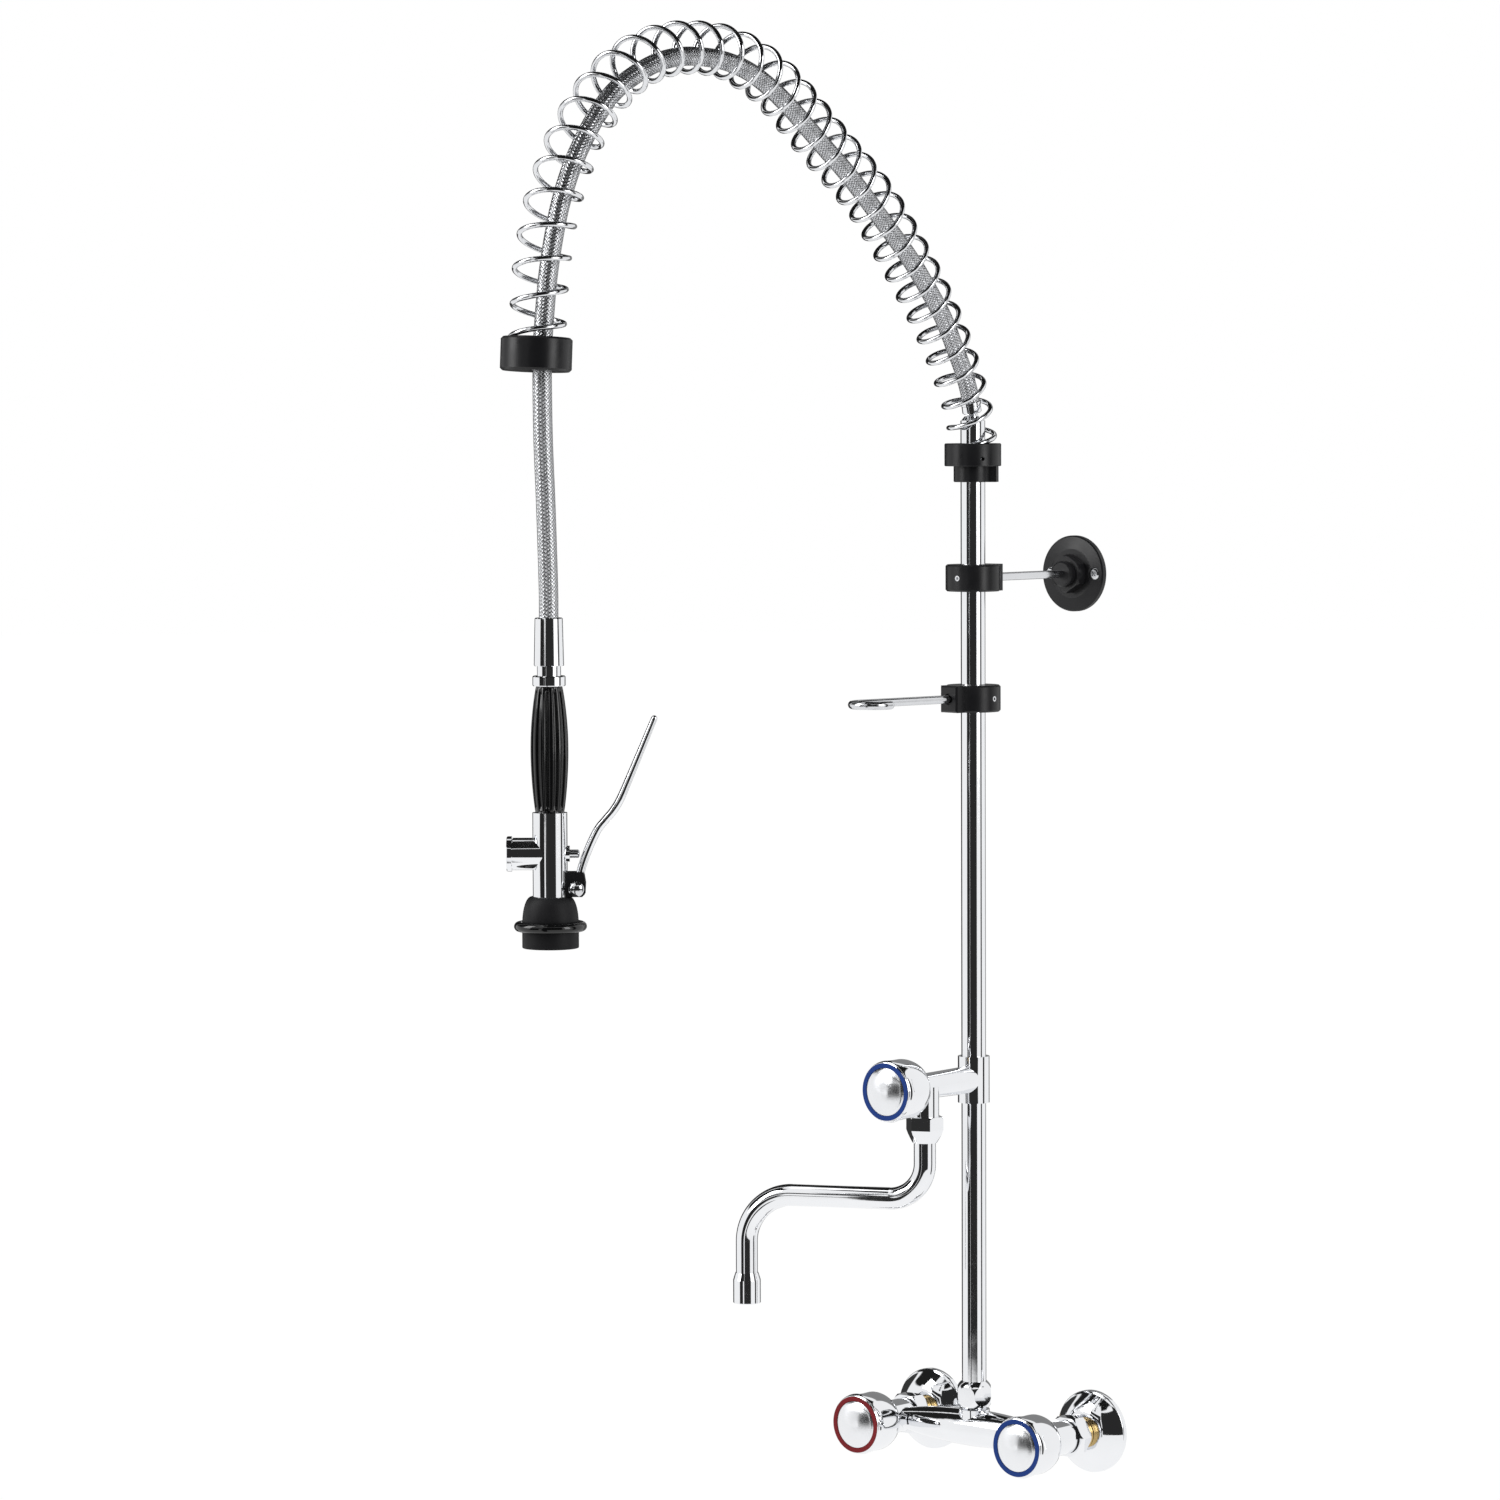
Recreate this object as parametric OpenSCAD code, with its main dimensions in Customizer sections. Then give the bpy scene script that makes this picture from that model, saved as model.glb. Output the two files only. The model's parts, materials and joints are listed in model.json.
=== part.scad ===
// Wall-mounted pre-rinse faucet: two-handle mixer, riser with a valved swing
// spout, spring arch with a hose and a trigger spray gun, gun hook and wall bracket.
// Frame: the origin lies on the wall plane midway between the two inlets,
// +X runs right along the wall, -Y points out of the wall, +Z points up.

/* [Mixer] */
// Distance between the two inlet axes
inlet_spacing = 150; // [150:1:160]
// Distance from the wall to the riser axis
riser_out = 46; // [46:1:50]
// Radius of a rosette at the wall
rosette_r = 30; // [26:0.5:32]
// Distance from the wall to the face of a mixer knob
mixer_face = 92; // [92:1:100]
// Largest radius of a knob
knob_r = 22.75; // [22.25:0.25:24]
// Length of a knob
knob_len = 32; // [32:1:34]
// Number of finger scoops round a knob
knob_scoops = 4; // [3:1:6]

/* [Riser] */
// Outer diameter of the riser tubes
riser_d = 18; // [18:0.5:18.5]
// Bore of the riser tubes
riser_bore = 15; // [14.5:0.1:15]
// Height of the upper riser's open end
riser_top = 737; // [730:1:740]
// Height of the valve tee's axis
tee_z = 257; // [250:1:280]
// Distance from the riser axis to the face of the spout knob
tee_face = 102; // [102:1:106]

/* [Swing spout] */
// Distance from the riser axis to the spout's swivel axis
spout_out = 57; // [57:1:58]
// Outer diameter of the spout tube
spout_d = 16; // [14:0.5:16]
// Horizontal reach from the swivel axis to the outlet
spout_reach = 134; // [125:1:150]
// Heading of the spout, counter-clockwise from +X seen from above
spout_heading = 205; // [180:1:270]

/* [Spring arch] */
// Diameter of the spring wire
wire_d = 3.6; // [3:0.1:3.8]
// Number of curls of the arch spring
curls = 35; // [30:1:36]
// Outer diameter of the spring at its base cup
spring_d_base = 36; // [35:0.5:36]
// Outer diameter of the spring along the arch
spring_d = 39; // [38:0.5:40]
// Outer diameter of the hose
hose_d = 13; // [12:0.5:13]

/* [Spray gun] */
// Distance from the riser axis to the gun's axis
gun_out = 455; // [454:1:456]
// Heading of the lever, counter-clockwise from +X seen from above
gun_heading = 40; // [0:5:90]
// Number of flutes of the grip
grip_flutes = 12; // [10:1:14]
// Largest radius of the grip
grip_r = 12.7; // [12:0.1:13]
// Radius of the bumper ring
bumper_r = 24.4; // [23:0.1:26]

/* [Hook and wall bracket] */
// Heading of the hook, counter-clockwise from +X seen from above
hook_heading = 262; // [240:1:290]
// Distance from the riser axis to the centre of the hook's bend
hook_reach = 113; // [100:1:120]
// Height of the hook collar's middle
hook_z = 535.5; // [500:0.5:560]
// Height of the wall bracket's middle
bracket_z = 623; // [600:0.5:640]
// Distance from the riser axis to the back of the wall plate
bracket_reach = 123; // [110:1:150]

/* [Hidden] */

$fn = 64;
eps = 0.01;
// Clearance of a turning fit, on the radius
run_fit = 0.05;

chrome = [0.80, 0.81, 0.83];
steel = [0.62, 0.63, 0.65];
brass = [0.78, 0.62, 0.30];
black = [0.09, 0.09, 0.10];
rubber = [0.13, 0.13, 0.14];
red = [0.62, 0.10, 0.14];
blue = [0.08, 0.22, 0.55];

inlet_x = inlet_spacing / 2;
riser_r = riser_d / 2;
knob_back = mixer_face - knob_len;

// Valve line, as distances from the wall
wall_thread = 12;
thread_r = 10.4;
housing_r = 12.3;
housing_tail = 28.5;
housing_shoulder = 36;
housing_front = knob_back + 5;
headwork_r = 9;
spindle_r = 3.95;
tail_r = 10.9;

// Riser nut: a ball cut by six flats
nut_z = 24.5;
nut_ball_r = 14;
nut_half_h = 10.4;
nut_half_flats = 12.1;

// Tee
tee_sleeve_r = 11.6;
tee_half_h = 17;
tee_barrel_back_r = 10.2;
tee_barrel_front_r = 8.9;
tee_headwork_r = 7.2;
tee_knob_back = tee_face - knob_len;
stub_r = 10.4;
stub_bottom = tee_z - 25;

// Spout
spout_nut_h = 16;
nut_ledge = 8;
spout_top = stub_bottom - 3.5;
spout_run_z = 174.5;
spout_bend_top = 26;
spout_bend_end = 35;
spout_end_z = 104;
spout_r = spout_d / 2;
spout_bore_r = spout_r - 1.5;
aerator_bottom = 94;
aerator_r = 10.1;

// Gun, as heights and radii
sleeve_bottom = 576.4;
neck_bottom = 569.8;
grip_top = 563;
grip_bottom = 478.3;
body_bottom = 422;
body_r = 11.7;
chamber_z = 450.6;
chamber_r = 10.8;
chamber_end = 28.9;
plunger_r = 2.8;
pivot_x = 17.6;
pivot_z = 427.3;
pivot_r = 2;
dome_bottom = 387.5;
dome_r = 19;
bumper_z = 402;
bumper_wire_r = 3.25;

// Clamp collars on the riser
collar_r = 20;
collar_h = 19.5;
collar_edge = 1.2;
block_w = 17.6;
block_out = 25;
rod_r = 3;
hook_gap_r = 14;

/* ---- shared shapes ---- */

// Puts a shape that is drawn along +Z on a line out of the wall, at x and height z
module outward(x, z) {
    translate([x, 0, z]) rotate([90, 0, 0]) children();
}

module on_riser(z, heading = 0) {
    translate([0, -riser_out, z]) rotate([0, 0, heading]) children();
}

module on_gun(z = 0) {
    translate([0, -riser_out - gun_out, z]) rotate([0, 0, gun_heading]) children();
}

module tube(r, bore, h) {
    difference() {
        cylinder(h = h, r = r);
        translate([0, 0, -1]) cylinder(h = h + 2, r = bore);
    }
}

// Hexagon nut blank with both rims turned down, flats across and height
module hex_blank(flats, h) {
    corner = flats / sqrt(3);
    intersection() {
        cylinder(h = h, r = corner, $fn = 6);
        rotate_extrude() polygon([
            [0, 0], [corner - 1.4, 0], [corner + 0.3, 1.7],
            [corner + 0.3, h - 1.7], [corner - 1.4, h], [0, h],
        ]);
    }
}

// A straight piece of rod along +Z; what follows starts at its end
module straight(len, r) {
    cylinder(h = len, r = r);
    translate([0, 0, len]) children();
}

// A bend from +Z towards +X (or -X where the turn is negative); what follows starts at its end
module bend(turn, bend_r, r) {
    side = sign(turn);
    translate([side * bend_r, 0, 0]) rotate([90, 0, 0]) rotate([0, 0, turn > 0 ? 180 - turn : 0])
        rotate_extrude(angle = abs(turn)) translate([bend_r, 0]) circle(r = r);
    translate([side * bend_r * (1 - cos(turn)), 0, bend_r * sin(abs(turn))]) rotate([0, turn, 0]) children();
}

// Both inlets
module inlets() {
    for (side = [-1, 1]) outward(side * inlet_x, 0) children();
}

/* ---- mixer ---- */

cross_r = 13.5;
cross_end_r = 8;
cross_half = inlet_x - 12;
cross_bow_r = (cross_half * cross_half + pow(cross_r - cross_end_r, 2)) / (2 * (cross_r - cross_end_r));

module cross_tube_profile() {
    intersection() {
        translate([cross_r - cross_bow_r, 0]) circle(r = cross_bow_r, $fn = 200);
        translate([0, -cross_half - 3]) square([cross_r + 1, 2 * cross_half + 6]);
    }
}

module mixer_body() {
    boss_top = nut_z - nut_half_h;
    color(chrome) difference() {
        union() {
            translate([0, -riser_out, 0]) rotate([0, 90, 0]) rotate_extrude() cross_tube_profile();
            on_riser(0) cylinder(h = boss_top, r = 11.4);
            inlets() {
                translate([0, 0, housing_shoulder])
                    cylinder(h = housing_front - housing_shoulder, r = housing_r);
                translate([0, 0, housing_tail])
                    cylinder(h = housing_shoulder - housing_tail + eps, r = tail_r);
            }
        }
        inlets() {
            translate([0, 0, housing_tail - 1]) cylinder(h = 18, r = 7);
            translate([0, 0, housing_front - 16]) cylinder(h = 17, r = headwork_r);
        }
        translate([-inlet_x, -riser_out, 0]) rotate([0, 90, 0]) cylinder(h = inlet_spacing, r = 5);
        on_riser(0) cylinder(h = boss_top + 1, r = 7);
        on_riser(boss_top - 4) cylinder(h = 5, r = riser_r);
    }
}

module inlet_unions() {
    color(brass) inlets() difference() {
        union() {
            translate([0, 0, -wall_thread]) cylinder(h = wall_thread, r = thread_r);
            // run-out of the wall thread
            cylinder(h = 1.5 + eps, r = thread_r - 0.8);
            translate([0, 0, 1.5]) cylinder(h = 20.5, r = thread_r);
            translate([0, 0, 20]) cylinder(h = 6.5, r = 9);
            translate([0, 0, 24.5]) cylinder(h = 2, r = tail_r);
        }
        translate([0, 0, -wall_thread - 1]) cylinder(h = 40, r = 7);
    }
}

module union_nuts() {
    color(chrome) inlets() difference() {
        translate([0, 0, 22.5]) hex_blank(28, 12);
        translate([0, 0, 21]) cylinder(h = 4, r = 9.05);
        translate([0, 0, 24.5]) cylinder(h = 12, r = 11);
    }
}

module union_gaskets() {
    color(rubber) inlets() {
        translate([0, 0, 26.5]) tube(tail_r - 0.1, 7.5, 2);
        translate([0, 0, 34.5]) tube(12, tail_r + 0.05, 1.5);
    }
}

module rosettes() {
    front = 14;
    color(chrome) inlets() rotate_extrude() polygon(concat(
        [[rosette_r, 0], [rosette_r, 3.6], [rosette_r - 0.6, 4.4]],
        // bowed cone from the rim up to the neck
        [for (i = [0:8]) let (t = i / 8) [
            rosette_r - 1.4 - (rosette_r - 14.2) * t,
            4.8 + (front - 4.8) * sin(90 * t),
        ]],
        [[thread_r + 0.1, front], [thread_r + 0.1, front - 1.5], [13, front - 1.5]],
        [for (i = [8:-1:0]) let (t = i / 8) [
            rosette_r - 2.6 - (rosette_r - 16.2) * t,
            3.2 + (front - 4.9) * sin(90 * t),
        ]],
        [[rosette_r - 1.6, 0]]
    ));
}

// Ceramic headwork: a body screwed into the housing, with a hexagon inside the knob
module headwork(seat, body_r) {
    difference() {
        union() {
            translate([0, 0, seat - 14]) cylinder(h = 15, r = body_r);
            translate([0, 0, seat]) hex_blank(20, 5);
            translate([0, 0, seat + 5 - eps]) cylinder(h = 4, r = 7);
        }
        translate([0, 0, seat - 10]) cylinder(h = 22, r = spindle_r + run_fit);
        translate([0, 0, seat - 15]) cylinder(h = 5, r = 6);
    }
}

module hot_headwork() {
    color(brass) outward(-inlet_x, 0) headwork(housing_front, headwork_r);
}

module cold_headwork() {
    color(brass) outward(inlet_x, 0) headwork(housing_front, headwork_r);
}

module spout_headwork() {
    color(brass) outward(0, tee_z) headwork(riser_out + tee_knob_back + 5, tee_headwork_r);
}

/* ---- knobs, drawn with their faces at z = 0 and their backs at z = -knob_len ---- */

scoop_r = 16;
scoop_depth = 2.4;
// Groove of the index ring; the cap fills its inside
ring_out = 20.8;
ring_in = 17.4;

module knob_profile() {
    back_r = 15;
    face_r = ring_out + 0.6;
    widest = -12;
    polygon(concat(
        [[0, -14], [13.3, -14], [13.3, -knob_len], [back_r - 0.8, -knob_len]],
        [for (i = [0:10]) let (a = 90 * i / 10) [
            back_r + (knob_r - back_r) * sin(a),
            widest - (knob_len + widest - 0.8) * cos(a),
        ]],
        [for (i = [1:6]) let (a = 90 * i / 6) [
            face_r + (knob_r - face_r) * cos(a),
            widest + (-widest - 1) * sin(a),
        ]],
        [[face_r - 0.3, 0], [ring_out, 0], [ring_out, -2], [ring_in, -2], [ring_in, -3], [0, -3]]
    ));
}

module knob(turn = 15) {
    color(chrome) difference() {
        rotate_extrude() knob_profile();
        for (i = [0:knob_scoops - 1])
            rotate([0, 0, turn + 90 + i * 360 / knob_scoops])
                translate([knob_r + scoop_r - scoop_depth, 0, -knob_len - 6])
                    cylinder(h = knob_len, r = scoop_r);
        translate([0, 0, -knob_len]) cylinder(h = knob_len, r = spindle_r);
        translate([0, 0, -6]) cylinder(h = 4, r = 5);
    }
}

module index_ring(tint) {
    color(tint) translate([0, 0, -1.98]) tube(ring_out - run_fit, ring_in + run_fit, 2.4);
}

// Domed cap inside the ring, a slice of a large ball on a short spigot
module knob_cap() {
    rise = 4;
    ball = (ring_in * ring_in + rise * rise) / (2 * rise);
    color(chrome) intersection() {
        translate([0, 0, rise + 0.4 - ball]) sphere(r = ball, $fn = 128);
        translate([0, 0, -3]) cylinder(h = rise + 4, r = ring_in);
    }
}

// Splined spindle, with the screw that holds the knob on it
module spindle() {
    back = -knob_len - 1;
    key_len = 7;
    color(brass) translate([0, 0, back]) cylinder(h = knob_len - 5, r = spindle_r);
    color(steel) translate([0, 0, -6]) cylinder(h = 2, r = 4.2);
    color(steel) translate([0, 0, back - key_len]) cylinder(h = key_len + eps, r = spindle_r - 1);
}

module hot_place() {
    outward(-inlet_x, 0) translate([0, 0, mixer_face]) children();
}

module cold_place() {
    outward(inlet_x, 0) translate([0, 0, mixer_face]) children();
}

module spout_valve_place() {
    outward(0, tee_z) translate([0, 0, riser_out + tee_face]) children();
}

module hot_knob() { hot_place() knob(); }
module hot_index_ring() { hot_place() index_ring(red); }
module hot_cap() { hot_place() knob_cap(); }
module hot_spindle() { hot_place() spindle(); }
module cold_knob() { cold_place() knob(); }
module cold_index_ring() { cold_place() index_ring(blue); }
module cold_cap() { cold_place() knob_cap(); }
module cold_spindle() { cold_place() spindle(); }
module spout_knob() { spout_valve_place() knob(); }
module spout_index_ring() { spout_valve_place() index_ring(blue); }
module spout_cap() { spout_valve_place() knob_cap(); }
module spout_spindle() { spout_valve_place() spindle(); }

/* ---- riser ---- */

module riser_nut() {
    color(chrome) on_riser(nut_z) difference() {
        intersection() {
            sphere(r = nut_ball_r, $fn = 96);
            rotate([0, 0, 10]) translate([0, 0, -nut_half_h])
                cylinder(h = 2 * nut_half_h, r = nut_half_flats * 2 / sqrt(3), $fn = 6);
        }
        translate([0, 0, -nut_half_h - 1]) cylinder(h = 2 * nut_half_h + 2, r = riser_r);
    }
}

module lower_riser() {
    bottom = nut_z - nut_half_h - 4;
    color(chrome) on_riser(bottom) tube(riser_r, riser_bore / 2, tee_z - 4 - bottom);
}

module upper_riser() {
    color(chrome) on_riser(tee_z + 4) tube(riser_r, riser_bore / 2, riser_top - tee_z - 4);
}

module valve_tee() {
    front = riser_out + tee_knob_back + 5;
    color(chrome) difference() {
        union() {
            on_riser(tee_z - tee_half_h) cylinder(h = 2 * tee_half_h, r = tee_sleeve_r);
            outward(0, tee_z) translate([0, 0, riser_out])
                cylinder(h = front - riser_out, r1 = tee_barrel_back_r, r2 = tee_barrel_front_r);
            translate([0, -riser_out - spout_out, stub_bottom]) cylinder(h = tee_z - stub_bottom, r = stub_r);
        }
        on_riser(tee_z - tee_half_h - 1) cylinder(h = tee_half_h - 3, r = riser_r);
        on_riser(tee_z + 4) cylinder(h = tee_half_h, r = riser_r);
        on_riser(tee_z - 5) cylinder(h = 10, r = 7);
        outward(0, tee_z) translate([0, 0, front - 16]) cylinder(h = 17, r = tee_headwork_r);
        outward(0, tee_z) translate([0, 0, riser_out]) cylinder(h = tee_knob_back - 8, r = 5);
        translate([0, -riser_out - spout_out, stub_bottom - 1]) cylinder(h = tee_z - stub_bottom, r = 6.5);
    }
}

/* ---- swing spout ---- */

module on_spout(z = 0) {
    translate([0, -riser_out - spout_out, z]) rotate([0, 0, spout_heading]) children();
}

// Tapered hexagon nut that hangs the spout under the tee
module spout_nut() {
    corner = 24 / sqrt(3);
    color(chrome) on_spout(stub_bottom - spout_nut_h) difference() {
        intersection() {
            union() {
                translate([0, 0, 9.5]) cylinder(h = 9.5, r = corner, $fn = 6);
                cylinder(h = 9.51, r1 = 10.2, r2 = corner, $fn = 6);
            }
            rotate_extrude() polygon([
                [0, 0], [8.8, 0], [corner + 0.4, 9], [corner + 0.4, 17.4], [corner - 1.2, 19], [0, 19],
            ]);
        }
        translate([0, 0, -1]) cylinder(h = 12, r = spout_r + run_fit);
        translate([0, 0, nut_ledge]) cylinder(h = 12, r = stub_r + run_fit);
    }
}

// From the swivel down, out along the heading and down to the outlet
module spout_path(r) {
    translate([0, 0, spout_top]) rotate([180, 0, 0])
        straight(spout_top - spout_run_z - spout_bend_top, r) bend(90, spout_bend_top, r)
        straight(spout_reach - spout_bend_top - spout_bend_end, r) bend(-90, spout_bend_end, r)
        straight(spout_run_z - spout_bend_end - spout_end_z, r);
}

module spout_tube() {
    flange_z = stub_bottom - spout_nut_h + nut_ledge + run_fit;
    color(chrome) on_spout() difference() {
        union() {
            spout_path(spout_r);
            translate([0, 0, flange_z]) cylinder(h = spout_top - flange_z, r = stub_r - 0.4);
        }
        spout_path(spout_bore_r);
        translate([0, 0, spout_top - 1]) cylinder(h = 2, r = spout_bore_r);
        translate([spout_reach, 0, spout_end_z - 1]) cylinder(h = 2, r = spout_bore_r);
    }
}

module spout_seal() {
    seat = spout_top + run_fit;
    color(rubber) on_spout(seat) tube(stub_r - 0.5, spout_bore_r + 0.3, stub_bottom - seat);
}

module aerator_shell() {
    color(chrome) on_spout() translate([spout_reach, 0, aerator_bottom]) difference() {
        rotate_extrude() polygon([
            [0, 0], [aerator_r - 0.6, 0], [aerator_r, 0.6], [aerator_r, 17.2], [aerator_r - 0.2, 17.8],
            [spout_r + 0.5, 22.4], [0, 22.4],
        ]);
        translate([0, 0, -1]) cylinder(h = 11, r = 8.6);
        translate([0, 0, 10]) cylinder(h = 14, r = spout_r);
    }
}

// Insert with its ring of jet slots
module aerator_insert() {
    color(steel) on_spout() translate([spout_reach, 0, aerator_bottom + 1]) difference() {
        cylinder(h = 9, r = 8.55);
        for (ring = [[1, 0], [6, 2.8], [12, 5.8]], i = [0:ring[0] - 1])
            rotate([0, 0, i * 360 / ring[0]]) translate([ring[1], 0, -1]) cylinder(h = 11, r = 0.8, $fn = 16);
    }
}

/* ---- spring arch ---- */

// Routes are [out, height] points in the arch plane, out counted from the riser axis
spring_route = [
    [0, 712], [0, 718], [0.8, 726], [2.8, 736], [6.5, 747], [12, 759], [18.5, 772], [27, 787], [41, 808],
    [57, 829], [73, 848], [90, 867], [107, 885], [125, 901], [145, 916], [165, 930], [186, 946], [206, 961],
    [226, 974], [248, 984], [272, 991], [297, 993], [322, 992], [347, 987], [370, 978],
    [391, 965], [409, 948], [425, 929], [438, 907], [449, 884], [456, 860], [461, 836],
    [463, 814], [465, 795], [465.5, 786], [466, 777],
];
// The hose lies on the inner side of the spring and hangs free below it
hose_route = [
    [1.4, 745.5], [2.8, 751.5], [4.2, 757.5], [8.4, 767.5], [13.2, 777], [21, 790], [34, 811], [51, 831],
    [69, 850], [88, 867], [107, 883], [126, 899], [145, 914], [165, 928], [186, 943], [206, 957],
    [226, 969], [248, 979], [272, 985], [297, 987], [321, 986], [344, 981], [366, 972],
    [387, 960], [404, 944], [419, 925], [432, 904], [442, 881], [449, 857], [454, 834],
    [457, 812], [459, 794], [460, 776], [459.5, 730], [457.5, 690], [456, 655],
    [gun_out, 625], [gun_out, 612], [gun_out, 600],
];

function spline_at(p0, p1, p2, p3, t) = 0.5 * (
    2 * p1 + (p2 - p0) * t + (2 * p0 - 5 * p1 + 4 * p2 - p3) * t * t
    + (3 * p1 - p0 - 3 * p2 + p3) * t * t * t);
function smooth(route, per) = let (n = len(route)) [
    for (i = [0:n - 2], k = [0:per - 1])
        spline_at(route[max(i - 1, 0)], route[i], route[i + 1], route[min(i + 2, n - 1)], k / per),
    route[n - 1],
];
// Running length at each point of a line
function lengths(line, i = 0, sum = 0) = i == len(line) ? [] :
    concat([sum], lengths(line, i + 1, i + 1 < len(line) ? sum + norm(line[i + 1] - line[i]) : sum));
function by_length(line) = let (s = lengths(line)) [
    [for (i = [0:len(line) - 1]) [s[i], line[i][0]]],
    [for (i = [0:len(line) - 1]) [s[i], line[i][1]]],
    s[len(s) - 1],
];
// Place and heading in the arch plane at a distance along a measured line
function at_length(m, s) = [lookup(s, m[0]), lookup(s, m[1])];
function unit(v) = v / norm(v);
function heading_at(m, s) = unit(at_length(m, min(s + 1, m[2])) - at_length(m, max(s - 1, 0)));
function in_space(p, side = 0) = [side, -riser_out - p[0], p[1]];

// Sweeps a many-sided tube of the given radii through points; toward gives each ring's first side
module swept_tube(points, toward, radii, sides) {
    n = len(points);
    along = [for (i = [0:n - 1]) unit(points[min(i + 1, n - 1)] - points[max(i - 1, 0)])];
    rings = [for (i = [0:n - 1])
        let (v = unit(cross(along[i], toward[i])), u = cross(v, along[i]))
        for (k = [0:sides - 1]) points[i] + radii[i] * (cos(360 * k / sides) * u + sin(360 * k / sides) * v)];
    walls = [for (i = [0:n - 2], k = [0:sides - 1])
        let (a = i * sides + k, b = i * sides + (k + 1) % sides)
        each [[a, a + sides, b], [b, a + sides, b + sides]]];
    caps = [for (k = [1:sides - 2]) each [
        [0, k, k + 1],
        [(n - 1) * sides, (n - 1) * sides + k + 1, (n - 1) * sides + k],
    ]];
    polyhedron(points = rings, faces = concat(walls, caps));
}

rings_per_curl = 8;
// Each end of a spring as [rise, way round], in wire diameters: a straight tail and its bend into the curls
spring_tail = [[0, 0], [1, 0], [1.47, 0.2], [1.75, 0.65], [1.9, 1.4], [2, 2.3]];
// Rings of a spring as [distance along it, angle round it]; spread widens the curls towards its far end
function spring_rings(len, count, wire, r, spread) =
    let (n = len(spring_tail) - 1, per_wire = wire / r * 180 / PI, steps = count * rings_per_curl,
        tail_rise = spring_tail[n][0] * wire, run = len - 2 * tail_rise)
    concat(
        [for (t = spring_tail) [t[0] * wire, (t[1] - spring_tail[n][1]) * per_wire]],
        [for (i = [1:steps - 1]) let (t = i / steps)
            [tail_rise + run * (t - spread * t * (1 - t)), 360 * i / rings_per_curl]],
        [for (k = [n:-1:0]) let (t = spring_tail[k])
            [len - t[0] * wire, 360 * count + (spring_tail[n][1] - t[1]) * per_wire]]
    );

spring_line = by_length(smooth(spring_route, 6));
wire_r = wire_d / 2;
spring_start_angle = 18;
spring_spread = 0.1;
function coil_r(s) = spring_d_base / 2 - wire_r
    + (spring_d - spring_d_base) / 2 * min(1, max(0, (s - 25) / 110));
function coil_centre(s) = in_space(at_length(spring_line, s));
function coil_point(s, angle) =
    let (h = heading_at(spring_line, s), r = coil_r(s), a = angle + spring_start_angle)
    in_space(at_length(spring_line, s) + r * cos(a) * [h[1], -h[0]], r * sin(a));
arch_rings = spring_rings(spring_line[2], curls, wire_d, spring_d_base / 2 - wire_r, spring_spread);
spring_points = [for (ring = arch_rings) coil_point(ring[0], ring[1])];
// Least gap of the spring to itself, between rings about one curl apart
next_curl = [rings_per_curl - 2:rings_per_curl + 2];
spring_gap = min([for (i = [0:len(arch_rings) - rings_per_curl], step = next_curl)
    if (i + step < len(arch_rings)) norm(spring_points[i] - spring_points[i + step])]) - wire_d;
echo(str("least gap of the arch spring to itself, mm: ", spring_gap));

module arch_spring() {
    inward = [for (i = [0:len(arch_rings) - 1]) coil_centre(arch_rings[i][0]) - spring_points[i]];
    color(chrome) swept_tube(spring_points, inward, [for (p = spring_points) wire_r], 6);
}

hose_line = by_length(smooth(hose_route, 6));
hose_rings = 56;
hose_end = 6;
echo(str("hose length, mm: ", hose_line[2]));
// Least gap of the hose to the middles of the spring's straight stretches, which lie nearest to it
spring_middles = [for (i = [1:len(spring_points) - 1]) (spring_points[i] + spring_points[i - 1]) / 2];
hose_gap = min([for (p = spring_middles, s = [0:2:hose_line[2]])
    norm(p - in_space(at_length(hose_line, s)))]) - wire_r - hose_d / 2;
echo(str("least gap between the spring and the hose, mm: ", hose_gap));

module hose() {
    len = hose_line[2];
    stations = concat([0, hose_end],
        [for (i = [1:hose_rings - 1]) len * i / hose_rings], [len - hose_end, len]);
    color(steel) swept_tube(
        [for (s = stations) in_space(at_length(hose_line, s))],
        [for (s = stations) [1, 0, 0]],
        [for (s = stations) hose_d / 2], 12);
}

cup_r = 20.6;
cup_floor = 712;
cup_rim = 720.5;
cup_neck_r = 14;
cup_bottom = 692.5;
cup_step = 704;
cup_screw_z = 709.5;
cup_screw_at = -31;
cup_screw_r = 1.5;

module base_cup() {
    color(black) on_riser(0) difference() {
        union() {
            rotate_extrude() polygon([
                [0, cup_bottom], [cup_neck_r - 0.5, cup_bottom], [cup_neck_r, cup_bottom + 0.5],
                [cup_neck_r, cup_step], [cup_r - 0.5, cup_step], [cup_r, cup_step + 0.5],
                [cup_r, cup_rim - 0.6], [cup_r - 0.6, cup_rim], [0, cup_rim],
            ]);
            // boss on the side of the neck
            rotate([0, 0, 30]) translate([0, -6, cup_bottom]) cube([18, 12, cup_step + 1 - cup_bottom]);
        }
        translate([0, 0, cup_bottom - 1]) cylinder(h = 40, r = riser_r + run_fit);
        translate([0, 0, cup_floor]) cylinder(h = 20, r = cup_r - 2);
        translate([0, 0, cup_screw_z]) rotate([0, 0, cup_screw_at]) rotate([0, 90, 0])
            cylinder(h = 30, r = cup_screw_r);
    }
}

// Grub screw that holds the base cup on the riser, deep in its hole
module base_cup_screw() {
    len = 7;
    color(steel) on_riser(cup_screw_z, cup_screw_at) translate([riser_r + 0.1, 0, 0]) rotate([0, 90, 0])
        difference() {
            cylinder(h = len, r = cup_screw_r);
            translate([0, 0, len - 2]) cylinder(h = 3, r = 0.85, $fn = 6);
        }
}

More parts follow.
